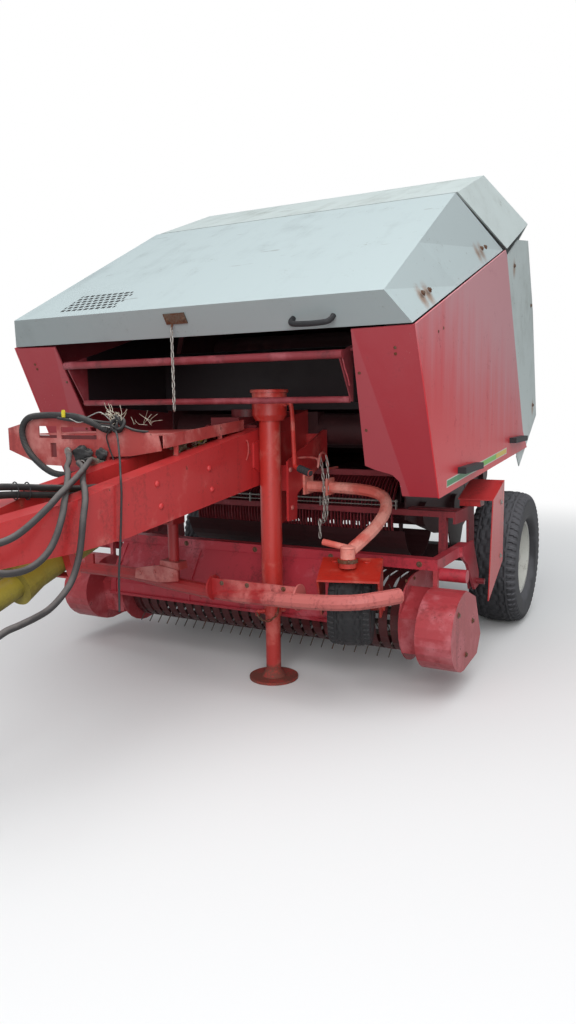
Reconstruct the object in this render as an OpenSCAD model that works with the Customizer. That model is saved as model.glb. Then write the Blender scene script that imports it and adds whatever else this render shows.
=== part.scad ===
// Round baler with a fixed roller chamber, standing on its two wheels and its jack.
// Every place below is measured from the wheel axle: x to the machine's left, y to the
// rear, z up from the ground. The whole model is then centred on its footprint.

/* [Body] */
// Width over the two side doors
body_w = 2038; // [1900:2:2150]
// Height of the hood's rear edge, where the tailgate begins
ridge_z = 2257; // [2200:1:2300]
// Place of the hood's rear edge
ridge_y = -806; // [-840:1:-780]
// Height of the hood's front upper edge
brow_z = 1687; // [1650:1:1720]
// Place of the hood's front upper edge
brow_y = -1863; // [-1900:1:-1830]
// Height of the tailgate's peak
peak_z = 2455; // [2400:1:2500]
// Thickness of the moulded hood and tailgate shell
shell_t = 6; // [4:0.5:8]
// Thickness of the side doors
door_t = 8; // [5:0.5:10]
// Gap between the door's plane and what swings inside it
plane_gap = 8; // [6:0.5:12]

/* [Bale chamber] */
// Inner width between the chamber walls
chamber_w = 1320; // [1200:10:1400]
// Thickness of the chamber walls
wall_t = 8; // [6:1:12]
// Radius of the circle that the roller centres lie on
roller_ring = 680; // [660:5:700]
// Diameter of a chamber roller
roller_d = 180; // [150:2:190]
// Diameter of a roller's journal
journal_d = 50; // [40:2:60]

/* [Running gear] */
// Outer diameter of the tyres
wheel_d = 760; // [740:5:780]
// Width of a tyre
tyre_w = 264; // [240:2:280]
// Diameter of the rim's flange
rim_d = 450; // [420:2:470]
// Width over the two tyres
track_w = 2190; // [2170:2:2240]
// Side of the square axle tube
axle_tube = 90; // [80:2:100]

/* [Drawbar and jack] */
// Clear width between the two drawbar beams
beam_gap = 160; // [150:2:180]
// Width of one drawbar beam
beam_w = 85; // [70:1:95]
// Reach of the hitch eye's centre ahead of the axle
hitch_y = -3100; // [-3200:5:-3000]
// Height of the hitch eye's middle
hitch_z = 850; // [840:1:860]
// Bore of the hitch eye
eye_bore = 41; // [35:1:50]
// Place of the jack across the machine
jack_x = 222; // [221:1:228]
// Place of the jack along the machine
jack_y = -1469; // [-1475:1:-1465]
// Outer diameter of the jack's tube
jack_tube = 98; // [92:1:100]
// Diameter of the jack's sliding leg
jack_leg_d = 70; // [60:1:74]
// Diameter of the jack's foot
foot_d = 230; // [200:5:235]
// Height of the jack's lid
jack_top = 1347; // [1330:1:1360]
// Diameter of the round guard bar
guard_d = 66; // [56:1:70]

/* [Pickup] */
// Number of the pickup's bands
bands = 27; // [21:2:31]
// Pitch of the pickup's bands
band_pitch = 58; // [56:0.5:60]
// Clear slot between two bands
band_slot = 16; // [12:0.5:18]
// Radius of the pickup's bands
band_r = 180; // [170:1:190]
// Radius of the circle of the tine tips
tine_r = 245; // [230:1:250]
// Diameter of a tine's wire
tine_d = 6; // [5:0.5:7]
// Place of the reel's axis along the machine
reel_y = -1100; // [-1110:1:-1090]
// Height of the reel's axis
reel_z = 285; // [275:1:300]
// Diameter of the feed rotor over its tines
rotor_d = 400; // [340:5:410]

/* [Gauge wheel] */
// Diameter of the gauge wheel
gauge_d = 330; // [300:2:334]
// Width of the gauge wheel
gauge_w = 180; // [150:1:184]

/* [Drive shaft] */
// Diameter of the drive shaft's guard
guard_tube = 110; // [90:2:120]
// Bore of the yoke at the tractor's end
yoke_bore = 35; // [34.9:0.1:35.5]

/* [Hidden] */

fine = 64;        // facets of a turned form
seat = 0.3;       // gap that a seated piece keeps from what carries it
half_w = body_w / 2;
wall_x = chamber_w / 2;
axle_z = wheel_d / 2;

// Chamber: the middle of the bale, and the radial seam that the tailgate leaves by
bale = [120, 1330];
hinge = [ridge_y + 6, ridge_z - 22];
hood_hinge = [ridge_y - 34, ridge_z - 45];
hood_pin = 16;
seam_foot = [295, 567];
seam_dir = unit(seam_foot - hinge);

// Hood: the outer corners on the machine's left
brow_x = half_w - 95;
ridge_x = half_w - 147;
lip_y = brow_y + 78;
lip_z = brow_z - 118;
skirt_x = half_w - door_t - plane_gap + 2;
tail_lip = [-411, 2041];
hood_fold = 0.42;

// Door outline, seen from the side: y and z of each corner
door_pts = [[lip_y, lip_z], tail_lip, [-386, 2020], [131, 1103], [257, 1002],
            [-1475, 893]];

// Tailgate
gate_y = ridge_y + 24;
gate_z = ridge_z + 5;
peak = [-280, peak_z];
eave = [98, 2261];
gate_x = half_w - door_t - plane_gap;
door_seat = half_w - door_t - 0.5;

// Drawbar
beam_top_front = 1025;
beam_slope = 0.158;
beam_end_y = -970;
gauge_pos = [661, -1547, 413];
gauge_turn = 17;
stem_pos = [668, -1610];
pivot = [-620, 360];
pivot_d = 30;
band_half = bands * band_pitch / 2;
lobe_x = band_half + 12;
shield_y = -2100;
pto_slope = 17;
pto_root = [0, -1640, 1060];
gate_bar_ring = roller_ring + roller_d / 2 + 22;
gate_bar_d = 40;
tail_reach = bale[0] + gate_bar_ring + gate_bar_d / 2;
nose_reach = hitch_y - 55;
centre_shift = -(tail_reach + nose_reach) / 2;

function beam_top(y) = beam_top_front + beam_slope * (y + 2400);
function ring_at(a) = [bale[0] + roller_ring * cos(a), bale[1] + roller_ring * sin(a)];
function pto_at(d) = [0, pto_root[1] - d * cos(pto_slope), pto_root[2] - d * sin(pto_slope)];

// Every piece is drawn from the axle and then moved to the footprint's middle.
module centred() translate([0, centre_shift, 0]) children();

// A plate that stands across the machine's x axis, from a side outline of y and z.
module side_plate(x, t, outline) {
    translate([x, 0, 0]) rotate([90, 0, 90]) linear_extrude(t) polygon(outline);
}

// A round bar between two places.
module bar(a, b, d, facets = fine) {
    run = b - a;
    reach = norm(run);
    turn = acos(run[2] / reach);
    heading = atan2(run[1], run[0]);
    translate(a) rotate([0, turn, heading]) cylinder(d = d, h = reach, $fn = facets);
}

// A round bar along x.
module x_bar(x0, x1, y, z, d) {
    translate([x0, y, z]) rotate([0, 90, 0]) cylinder(d = d, h = x1 - x0, $fn = fine);
}

// A box from its lowest to its highest corner.
module block(low, high) translate(low) cube(high - low);

// Both sides of the machine.
module both() {
    children();
    mirror([1, 0, 0]) children();
}

// Catmull-Rom curve through a list of places, with n steps between two of them.
function curve(p, n) = [
    for (i = [0 : len(p) - 2], k = [0 : n - 1])
        let (a = p[max(i - 1, 0)], b = p[i], c = p[i + 1], d = p[min(i + 2, len(p) - 1)],
             t = k / n)
            0.5 * (2 * b + (c - a) * t + (2 * a - 5 * b + 4 * c - d) * t * t
                   + (3 * b - a - 3 * c + d) * t * t * t),
    p[len(p) - 1]];

function unit(v) = v / norm(v);

// Tangent of a path at ring i.
function heading_at(p, i) = unit(p[min(i + 1, len(p) - 1)] - p[max(i - 1, 0)]);

// Side directions carried along the path without twist.
function carried(p, i, side) = i >= len(p) ? [] :
    let (t = heading_at(p, i), s = unit(side - (side * t) * t))
        concat([s], carried(p, i + 1, s));

// A tube of one closed skin swept along a path.
module tube(p, d, sides = 10) {
    t0 = heading_at(p, 0);
    start = abs(t0[2]) > 0.8 ? [1, 0, 0] : [0, 0, 1];
    frame = carried(p, 0, start);
    last = len(p) - 1;
    rings = [for (i = [0 : last], k = [0 : sides - 1])
        let (t = heading_at(p, i), u = frame[i], v = cross(t, u), a = 360 * k / sides)
            p[i] + d / 2 * (cos(a) * u + sin(a) * v)];
    skin = [for (i = [0 : last - 1], k = [0 : sides - 1])
        let (m = (k + 1) % sides)
            [i * sides + k, (i + 1) * sides + k, (i + 1) * sides + m, i * sides + m]];
    caps = [[for (k = [0 : sides - 1]) k],
            [for (k = [sides - 1 : -1 : 0]) last * sides + k]];
    polyhedron(rings, concat(skin, caps));
}

// A folded sheet: outer corners, inner corners, its faces and the loop of its open edge.
module folded(outer, inner, faces, edge) {
    n = len(outer);
    back = [for (f = faces) [for (k = [len(f) - 1 : -1 : 0]) f[k] + n]];
    rim = [for (k = [0 : len(edge) - 1])
        let (a = edge[k], b = edge[(k + 1) % len(edge)])
            each [[a, b, b + n], [a, b + n, a + n]]];
    polyhedron(concat(outer, inner), concat(faces, back, rim));
}

// Chamber walls and frame

// Fixed half of a chamber wall with its bearing bosses, legs and front cheek.
module wall() {
    low = seam_foot;
    outline = [hinge + [-50, -33], hinge + [-14, -31],
               hinge + 60 * seam_dir + [-6, 0], low + [-6, 0], [150, 520],
               [100, axle_z + axle_tube / 2], [-100, axle_z + axle_tube / 2],
               [-140, 520], [-420, 560], [rail_y + seat, 700], [rail_y + seat, 800],
               [-1000, 980], [-1000, 1240],
               [-950, 1420], [-860, 1700], [-900, 2000]];
    side_plate(wall_x, wall_t, outline);
    for (a = front_angles)
        x_bar(wall_x + wall_t, wall_x + wall_t + 30, ring_at(a)[0], ring_at(a)[1], 120);
    x_bar(wall_x + wall_t, wall_x + wall_t + 34, -660, 700, 130);
    // Ear and pin of the hood's hinge, and the arm that the door's upper edge hangs on
    x_bar(wall_x, wall_x + wall_t, hood_hinge[0], hood_hinge[1], hood_pin + 10);
    x_bar(wall_x - 64, wall_x + 1, hood_hinge[0], hood_hinge[1], hood_pin);
    block([wall_x + 1, -860, 1844], [door_seat, -840, 1856]);
}

front_angles = [158, 178, 198, 252, 272];
rear_angles = [for (k = [0 : 10]) -70 + 20 * k];

module side_wall_left() centred() color("firebrick") wall();
module side_wall_right() centred() color("firebrick") mirror([1, 0, 0]) wall();

// Cross tubes that tie the two walls and carry the drawbar's flange.
module cross_frame() centred() color("firebrick") {
    x_bar(-wall_x, wall_x, -890, 1150, 160);
    block([-wall_x, -900, 1950], [wall_x, -870, 2010]);
    block([-220, beam_end_y + seat, 1060], [220, -890, 1240]);
}

// Square axle tube with a round spindle at each end.
module axle() centred() color("dimgray") {
    block([-hub_in, -axle_tube / 2, axle_z - axle_tube / 2],
          [hub_in, axle_tube / 2, axle_z + axle_tube / 2]);
    x_bar(-spindle_x, spindle_x, 0, axle_z, spindle_d);
}

tyre_out = track_w / 2;
tyre_in = tyre_out - tyre_w;
hub_in = tyre_in - 12;
spindle_x = tyre_out - 95;
spindle_d = 50;
hub_d = 110;

// Drum between two journals that end on the walls.
module roller(a) {
    c = ring_at(a);
    x_bar(-wall_x + 12, wall_x - 12, c[0], c[1], roller_d);
    x_bar(-wall_x + seat, wall_x - seat, c[0], c[1], journal_d);
}

module front_rollers() centred() color("indianred") {
    for (a = front_angles) roller(a);
}

// Wheels

// Tyre, with its section turned about the axle. Its bead sits inside the rim's flanges.
module tyre(w, d, bead) {
    r = d / 2;
    c = w / 2;
    b = bead / 2;
    rotate([0, 90, 0]) rotate_extrude($fn = 96)
        polygon([[b, -c * bead_share], [b + flange_h, -c * bead_share],
                 [b + flange_h + 6, -c * 0.80], [r * 0.80, -c], [r * 0.93, -c * 0.95],
                 [r * 0.985, -c * 0.80], [r, -c * 0.45], [r, c * 0.45],
                 [r * 0.985, c * 0.80], [r * 0.93, c * 0.95], [r * 0.80, c],
                 [b + flange_h + 6, c * 0.80], [b + flange_h, c * bead_share],
                 [b, c * bead_share]]);
}

// Rim of one body: barrel, two flanges, a disc and a hub with its bearing bore.
module rim(w, bead, hub, bore, dish) {
    b = bead / 2;
    c = w / 2 * bead_share + seat;
    rotate([0, 90, 0]) rotate_extrude($fn = 96) {
        translate([b - rim_t - seat, -c]) square([rim_t, 2 * c]);
        for (y = [-c - flange_t, c])
            translate([b - rim_t - seat, y]) square([rim_t + flange_h - 3, flange_t]);
        translate([hub / 2 - 1, dish - 6]) square([b - rim_t - hub / 2 + 2, 12]);
        translate([bore / 2 + bearing_gap, -c * 0.9])
            square([hub / 2 - bore / 2 - bearing_gap, c * 1.5]);
    }
}

bead_share = 0.68;   // width of the bead seat against the tyre's width
flange_h = 18;
flange_t = 7;
rim_t = 10;
bearing_gap = 0.05;
wheel_x = tyre_out - tyre_w / 2;

module wheel_rim() translate([wheel_x, 0, axle_z])
    rim(tyre_w, rim_d - 2 * flange_h, hub_d, spindle_d, 30);

module wheel_tyre() translate([wheel_x, 0, axle_z])
    tyre(tyre_w, wheel_d, rim_d - 2 * flange_h);

module rim_left() centred() color("gainsboro") wheel_rim();
module tyre_left() centred() color("black") wheel_tyre();
module rim_right() centred() color("gainsboro") mirror([1, 0, 0]) wheel_rim();
module tyre_right() centred() color("black") mirror([1, 0, 0]) wheel_tyre();

// Drawbar

// One beam: its side outline cut by its plan outline.
module beam() {
    out = beam_gap / 2 + beam_w;
    tip_y = hitch_y + 150;
    intersection() {
        side_plate(-20, 400, [[tip_y, hitch_z - 50], [-2400, 820], [-1420, 920],
                              [-1200, 985], [beam_end_y, 1060],
                              [beam_end_y, beam_top(beam_end_y)],
                              [tip_y, beam_top(tip_y)]]);
        translate([0, 0, 500]) linear_extrude(1000)
            polygon([[0, tip_y], [95, tip_y], [out, -2650], [out, beam_end_y],
                     [beam_gap / 2, beam_end_y], [beam_gap / 2, -2650], [18, tip_y + 60],
                     [0, tip_y + 60]]);
    }
}

// Strut from the beam's side down to the wide bracket that carries the jack.
module drawbar() centred() color("red") {
    out = beam_gap / 2 + beam_w;
    both() beam();
    block([-out, beam_end_y - 12, 1050], [out, beam_end_y, 1245]);
    side_plate(out, 8, [[-1530, 1000], [-1530, 1110], [-1300, 1150], [-1230, 1150],
                        [-1230, 720], [-1300, 700], [-1320, 900]]);
    side_plate(out + 95, 12, [[-1390, 740], [-1390, 1020], [-1000, 1150], [-970, 1150],
                              [-970, 1010], [-1300, 860], [-1310, 740]]);
    block([out, -1372, 880], [out + 95, -1360, 1000]);
    block([out, -990, 1040], [out + 95, -978, 1130]);
    // Cradle strap under the drive shaft's guard
    cradle = pto_at(1010);
    difference() {
        translate(cradle) rotate([pto_slope, 0, 0])
            block([-90, -15, -guard_tube / 2 - 8], [90, 15, 140]);
        translate(cradle) rotate([pto_slope, 0, 0])
            block([-guard_tube / 2 - 3, -30, -guard_tube / 2 - 1],
                  [guard_tube / 2 + 3, 30, 200]);
        both() beam();
    }
}

// Eye with its vertical bore on the end of the drawbar.
module hitch_eye() centred() color("firebrick") {
    difference() {
        union() {
            translate([0, hitch_y, hitch_z - 20]) cylinder(d = 110, h = 40, $fn = fine);
            block([-40, hitch_y, hitch_z - 20], [40, hitch_y + 150, hitch_z + 20]);
        }
        translate([0, hitch_y, hitch_z - 30]) cylinder(d = eye_bore, h = 60, $fn = fine);
    }
}

// Jack tube with its lid, crank and grip.
module jack_tube() centred() color("orangered") {
    lid = jack_top - 137;
    translate([jack_x, jack_y, 0]) difference() {
        union() {
            translate([0, 0, 400]) cylinder(d = jack_tube, h = lid - 400, $fn = fine);
            translate([0, 0, lid]) cylinder(d1 = jack_tube + 30, d2 = 158, h = 25, $fn = fine);
            translate([0, 0, lid + 25]) cylinder(d = 158, h = 100, $fn = fine);
            translate([0, 0, jack_top - 12]) cylinder(d = 172, h = 12, $fn = fine);
        }
        translate([0, 0, 390]) cylinder(d = jack_leg_d + 2 * seat, h = lid - 420, $fn = fine);
    }
    crank = [[jack_x + 30, jack_y, jack_top - 55], [jack_x + 100, jack_y - 15, jack_top - 55],
             [jack_x + 125, jack_y - 20, jack_top - 90],
             [jack_x + 140, jack_y - 30, 1050], [jack_x + 150, jack_y - 40, 1010],
             [jack_x + 185, jack_y - 55, 1000]];
    tube(curve(crank, 3), 20, 8);
    bar([jack_x + 175, jack_y - 50, 1002], [jack_x + 245, jack_y - 80, 985], 30);
}

// Guard bar ahead of the pickup, with its upright strip, ears and post.
module guard_bar() centred() color("indianred") {
    route = [[-906, -1560, 454], [-506, -1580, 455], [-180, -1660, 450], [145, -1720, 452],
             [530, -1765, 473], [745, -1762, 491], [850, -1700, 503], [905, -1630, 507]];
    tube(curve(route, 4), guard_d, 12);
    block([62, -1742, 458], [496, -1734, 524]);
    for (x = [60, 492]) translate([x, -1725, 478]) rotate([0, 90, 0])
        cylinder(d = 112, h = 8, $fn = fine);
    bar([-205, -1650, 470], [-205, -1650, 800], 50);
    block([-245, -1700, 740], [-165, -1610, 748]);
    block([-185, -1700, 740], [-165, -1610, 900]);
    block([-830, -1580, 470], [-770, -1568, 535]);
}

// Gearbox between the beams with its round dome and input ring.
module gearbox() centred() color("firebrick") {
    half = beam_gap / 2 - 4;
    block([-half, -1500, 960], [half, -1220, 1225]);
    translate([0, -1300, 1200]) cylinder(d = 150, h = 60, $fn = fine);
    translate([0, -1380, beam_top(-1380)]) rotate([atan(beam_slope), 0, 0])
        block([-beam_gap / 2 - 60, -70, 1], [beam_gap / 2 + 60, 120, 13]);
    translate(pto_root) rotate([90 + pto_slope, 0, 0]) {
        translate([0, 0, -155]) cylinder(d = 120, h = 155, $fn = fine);
        translate([0, 0, -20]) cylinder(d = 150, h = 20, $fn = fine);
    }
}

// Drive shaft in its guard tube, with a yoke at each end.
module pto_shaft() centred() color("goldenrod") {
    translate(pto_root) rotate([90 + pto_slope, 0, 0]) difference() {
        union() {
            translate([0, 0, seat]) cylinder(d = 60, h = 1300, $fn = fine);
            translate([0, 0, 60]) cylinder(d1 = 140, d2 = guard_tube, h = 120, $fn = fine);
            translate([0, 0, 180]) cylinder(d = guard_tube, h = 930, $fn = fine);
            translate([0, 0, 1110]) cylinder(d1 = guard_tube, d2 = 140, h = 90, $fn = fine);
            translate([0, 0, 1200]) cylinder(d = 84, h = 150, $fn = fine);
        }
        translate([0, 0, 1270]) cylinder(d = yoke_bore, h = 100, $fn = fine);
    }
}

// Bent sheet over the drawbar that the hoses rest on.
module hose_shield() centred() color("indianred") {
    front = [[-740, 1195], [-550, 1240], [-150, 1215], [80, 1172], [95, 1110],
             [-60, 1086], [-172, 1082], [-178, 1032], [-560, 1040], [-740, 1100]];
    translate([0, shield_y, 0]) rotate([90, 0, 0]) linear_extrude(6) difference() {
        polygon(front);
        translate([-557, 1155]) square([104, 50]);
        translate([-428, 1151]) square([195, 50]);
        translate([-493, 1074]) square([34, 60]);
    }
    translate([0, 0, 1168]) linear_extrude(6) polygon([[-550, shield_y - 6],
        [80, shield_y - 6], [110, -1510], [-60, -1510], [-500, -1900]]);
    side_plate(104, 6, [[shield_y - 6, 1120], [-1510, 1168], [-1510, 1215],
                        [shield_y - 6, 1172]]);
    for (y = [-2020, -1700])
        block([90, y, beam_top(y + 6) + seat], [110, y + 6, 1168]);
    block([-110, -2020, beam_top(-2014) + seat], [-90, -2014, 1168]);
}

// Tray under the hood's front edge with its two tubes and end cheeks.
module net_tray() centred() color("firebrick") {
    x_bar(-717, 717, -1762, 1474, 34);
    x_bar(-700, 700, -1655, 1300, 27);
    both() side_plate(700, 5, [[-1766, 1466], [-1752, 1483], [-1000, 1700], [-860, 1700],
                               [-950, 1420], [-1000, 1240], [-1648, 1292], [-1660, 1306]]);
    side_plate(-700, 1400, [[-1755, 1469], [-1755, 1475], [-1007, 1556], [-1007, 1550]]);
    side_plate(-700, 1400, [[-1010, 1252], [-1010, 1560], [-1004, 1560], [-1004, 1252]]);
    both() block([wall_x + wall_t, -1004, 1260], [705, -960, 1420]);
    // Arms that the doors' upper edges hang on
    both() block([702, -1660, 1490], [door_seat, -1640, 1502]);
    both() block([door_seat - 12, -1660, 1490], [door_seat, -1640, 1604]);
}

// Rails and curved stripper fingers between the pickup and the chamber.
rotor_c = [-660, 700];
rail_y = -890;
module feeder_frame() centred() color("firebrick") {
    block([-886, rail_y - 45, 730], [886, rail_y, 759]);
    both() block([850, rail_y - 45, 546], [886, rail_y - 9, 730]);
    for (x = [-588 : 56 : 588]) side_plate(x, 5, [for (a = [100 : 10 : 250])
        rotor_c + (rotor_d / 2 + 12) * [cos(a), sin(a)], for (a = [250 : -10 : 100])
        rotor_c + (floor_r - seat) * [cos(a), sin(a)]]);
    block([-wall_x, -790, 905], [wall_x, -760, 935]);
    // Pivot plates of the pickup
    both() {
        side_plate(920, 12, [[rail_y - 45, 700], [rail_y - 45, 759], [-600, 759], [-570, 400],
                             [-570, 330], [-650, 320], [-680, 400], [-700, 690]]);
        block([wall_x + wall_t + seat, -860, 735], [920, -790, 759]);
        block([880, rail_y - 45, 730], [920, rail_y, 759]);
        x_bar(932, 1000, pivot[0], pivot[1], pivot_d);
    }
}

// Strip of an arc across the machine between two angles: centre, radius, thickness.
module arc_sheet(c, r, t, from, to) {
    steps = ceil((to - from) / 9);
    turns = [for (k = [0 : steps]) from + (to - from) * k / steps];
    // Its flats touch the circle r, so nothing of the sheet comes inside that circle
    inner = r / cos((to - from) / steps / 2);
    side_plate(-wall_x + seat, 2 * (wall_x - seat), concat(
        [for (a = turns) c + (inner + t) * [cos(a), sin(a)]],
        [for (k = [steps : -1 : 0]) c + inner * [cos(turns[k]), sin(turns[k])]]));
}

// Curved floor under the feed rotor, in three strips.
floor_r = rotor_d / 2 + 34;
module feeder_floor() centred() color("firebrick") {
    for (a = [195, 240, 285]) arc_sheet(rotor_c, floor_r, 4, a, a + 44.9);
}

// Underside of the wheel guard's sloping top.
function guard_low(y) = 795 + (y + 730) * 77 / 230;

// Red guard plate ahead of a wheel with its top.
module guard() {
    guard_x = lobe_x + 262;
    side_plate(guard_x, 5, [[-730, 800], [-500, 877], [-500, 455], [-780, 300]]);
    side_plate(885, guard_x - 885, [[-730, 795], [-500, 872], [-500, 877], [-730, 800]]);
    side_plate(885, 105, [[-700, 759], [-620, 759], [-620, guard_low(-620)],
                          [-700, guard_low(-700)]]);
}
module wheel_guard_left() centred() color("orangered") guard();
module wheel_guard_right() centred() color("orangered") mirror([1, 0, 0]) guard();

// Bent arm that carries the gauge wheel's stem.
module gauge_arm() centred() color("indianred") {
    route = [[280, -1200, 886], [400, -1200, 886], [590, -1205, 878], [680, -1225, 852],
             [712, -1290, 800], [708, -1400, 742], [694, -1500, 705],
             [stem_pos[0] + 4, stem_pos[1] + 22, 668]];
    tube(curve(route, 3), 55, 10);
    block([272 + seat, -1245, 850], [284, -1155, 945]);
    block([390, -1240, 850], [400, -1160, 930]);
    translate([stem_pos[0], stem_pos[1], stem_z]) cylinder(d = 62, h = 44, $fn = fine);
    bar([550, -1600, 698], [stem_pos[0], stem_pos[1] + 4, 682], 28);
}

// Chain of round links on a short rod that sticks out of the bracket.
module hang_chain() centred() color("dimgray") {
    link = 42;
    wire = 8;
    for (k = [0 : 13]) translate([390, -1290, 1035 - 30 * k]) rotate([0, 0, 90 * (k % 2)])
        rotate([90, 0, 0]) rotate_extrude($fn = 16) translate([link / 2 - wire / 2, 0])
            circle(d = wire, $fn = 8);
    bar([272 + 1, -1290, 1030], [392, -1290, 1048], 10, 12);
}

// Hoses, cable and conduit: routes chosen by hand, from their fittings to the couplers
hose_1 = [[-381, -2114.4, 1102], [-341, -2158, 1084], [-300, -2202, 1066],
          [-200, -2318, 1055], [-100, -2416, 1048], [0, -2523, 1032], [90, -2625, 1005],
          [158, -2702, 992], [191, -2750, 948], [200, -2790, 888], [200, -2830, 843],
          [200, -2885, 815], [198, -2941, 806], [182, -3000, 812], [142, -3045, 840],
          [85, -3052, 868], [20, -3020, 896], [-54, -2985, 888], [-108, -2962, 815],
          [-135, -2945, 690], [-150, -2925, 480], [-168, -2905, 260], [-205, -2875, 110],
          [-285, -2830, 35], [-390, -2770, 17], [-490, -2715, 16]];
hose_2 = [[-194, -2107.3, 1052], [-193, -2150, 1055], [-168, -2210, 1072],
          [-120, -2272, 1080], [-70, -2340, 1076], [-10, -2430, 1062], [60, -2543, 1044],
          [122, -2644, 1031], [174, -2738, 1014], [196, -2804, 988], [200, -2858, 959],
          [200, -2912, 931], [197, -2962, 911], [182, -3012, 900], [142, -3052, 898],
          [85, -3074, 900], [20, -3052, 899], [-56, -3014, 890], [-105, -2996, 825],
          [-135, -2987, 700], [-152, -2982, 480], [-175, -2967, 250], [-215, -2930, 105],
          [-300, -2895, 35], [-400, -2860, 17], [-500, -2830, 16]];
hose_3 = [[-313, -2114.4, 1051], [-262, -2172, 1060], [-212, -2240, 1066],
          [-130, -2306, 1055], [-30, -2414, 1032], [70, -2520, 1021], [148, -2598, 1013],
          [187, -2640, 982], [200, -2668, 924], [200, -2681, 859], [200, -2699, 797],
          [200, -2736, 732], [200, -2787, 691], [200, -2840, 665], [200, -2894, 654],
          [200, -2954, 647], [195, -3015, 638], [175, -3066, 600], [145, -3096, 510],
          [105, -3105, 380], [60, -3092, 240], [0, -3070, 120], [-80, -3040, 50],
          [-190, -3015, 18], [-330, -2990, 16], [-480, -2955, 16]];
cable_route = [[-111, -2107.9, 1190], [-110, -2128, 1189], [-60, -2180, 1168],
               [0, -2245, 1132], [80, -2335, 1088], [140, -2405, 1060], [170, -2440, 1035],
               [180, -2451, 1000], [180, -2453, 962], [178, -2467, 805], [178, -2481, 700],
               [178, -2487, 568]];
conduit_route = [[-160, -2108.4, 1190], [-164, -2135, 1195], [-215, -2150, 1222],
                 [-300, -2140, 1243], [-397, -2130, 1250], [-515, -2130, 1250],
                 [-590, -2130, 1238], [-627, -2130, 1195], [-622, -2130, 1140],
                 [-590, -2130, 1090], [-540, -2130, 1048], [-490, -2128, 1018],
                 [-450, -2118, 1003], [-400, -2095, 1000], [-350, -2060, 1005],
                 [-310, -2010, 1015]];
hose_d = 22;

module hoses() centred() color("gray") {
    tube(curve(hose_1, 2), hose_d, 8);
    tube(curve(hose_2, 2), hose_d, 8);
    tube(curve(hose_3, 2), hose_d, 8);
}
module cable() centred() color("black") tube(curve(cable_route, 2), 8, 8);
module hose_couplers() centred() color("silver") {
    for (h = [hose_1, hose_2, hose_3]) {
        path = curve(h, 2);
        end = path[len(path) - 1];
        run = unit(end - path[len(path) - 2]);
        bar(end + 0.5 * run, end + 70 * run, 22);
    }
}
module conduit() centred() color("black") tube(curve(conduit_route, 3), 28, 10);

// Hood

module hood_shell() centred() color("whitesmoke") {
    s = shell_t;
    fold_top = [brow_x + (ridge_x - brow_x) * hood_fold, brow_y + (ridge_y - 12 - brow_y) * hood_fold,
                brow_z + (ridge_z - 6 - brow_z) * hood_fold];
    fold_low = [skirt_x, lip_y + (tail_lip[0] - lip_y) * hood_fold,
                lip_z + (tail_lip[1] - lip_z) * hood_fold + 4];
    left = [[brow_x, brow_y, brow_z], [skirt_x, lip_y, lip_z + 4], fold_low,
            [skirt_x, tail_lip[0] - 8, tail_lip[1]], [ridge_x, ridge_y - 12, ridge_z - 6], fold_top];
    inset = [[-s, s, -s], [-s, s, 0], [-s, 0, 0], [-s, -2, 0], [-s, 0, -s], [-s, 0, -s]];
    right = [for (p = left) [-p[0], p[1], p[2]]];
    outer = concat(left, right);
    inner = concat([for (k = [0 : 5]) left[k] + inset[k]],
                   [for (k = [0 : 5]) right[k] + [-inset[k][0], inset[k][1], inset[k][2]]]);
    faces = [[0, 6, 11, 5], [5, 11, 10, 4], [0, 1, 7, 6], [0, 5, 2], [0, 2, 1], [5, 4, 3],
             [5, 3, 2], [11, 6, 8], [6, 7, 8], [10, 11, 9], [11, 8, 9]];
    folded(outer, inner, faces, [1, 2, 3, 4, 10, 9, 8, 7]);
    // Lugs on the hinge's pins
    h = hood_hinge;
    both() difference() {
        side_plate(wall_x - 60, 12, [h + [-16, -12], h + [-16, 15], h + [16, 32], h + [16, -12]]);
        x_bar(wall_x - 62, wall_x - 46, h[0], h[1], hood_pin + 2 * seat);
    }
}

// Place on the hood's front band, d along it from the brow and h out of it: y and z.
band_run = [lip_y - brow_y, lip_z + 4 - brow_z];
function on_band(d, h) = [brow_y, brow_z] + d * unit(band_run)
    + h * unit([band_run[1], -band_run[0]]);

// Grip of a bent rod on the hood's front band.
module hood_grip() centred() color("black") {
    ends = [[0, 0.5], [0, 12], [0, 24], [17, 44], [85, 50], [154, 44], [171, 24],
            [171, 12], [171, 0.5]];
    tube(curve([for (e = ends) let (q = on_band(88, e[1]))
        [brow_x - 393 + e[0], q[0], q[1]]], 4), 22, 10);
}

// Plate with a lug and a chain on the hood's front band.
module hood_chain() centred() color("dimgray") {
    side_plate(-67, 107, [on_band(27, seat), on_band(27, 5), on_band(75, 5), on_band(75, seat)]);
    lug = on_band(70, 4);
    top = [-35, lug[0] - 8, 1590];
    bar([-35, lug[0], lug[1]], top + [0, 0, 14], 9, 12);
    for (k = [0 : 11]) translate(top - [0, 0, 30 * k]) rotate([0, 0, 90 * (k % 2)])
        rotate([90, 0, 0]) rotate_extrude($fn = 16) translate([17, 0]) circle(d = 8, $fn = 8);
}

// Side doors

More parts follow.
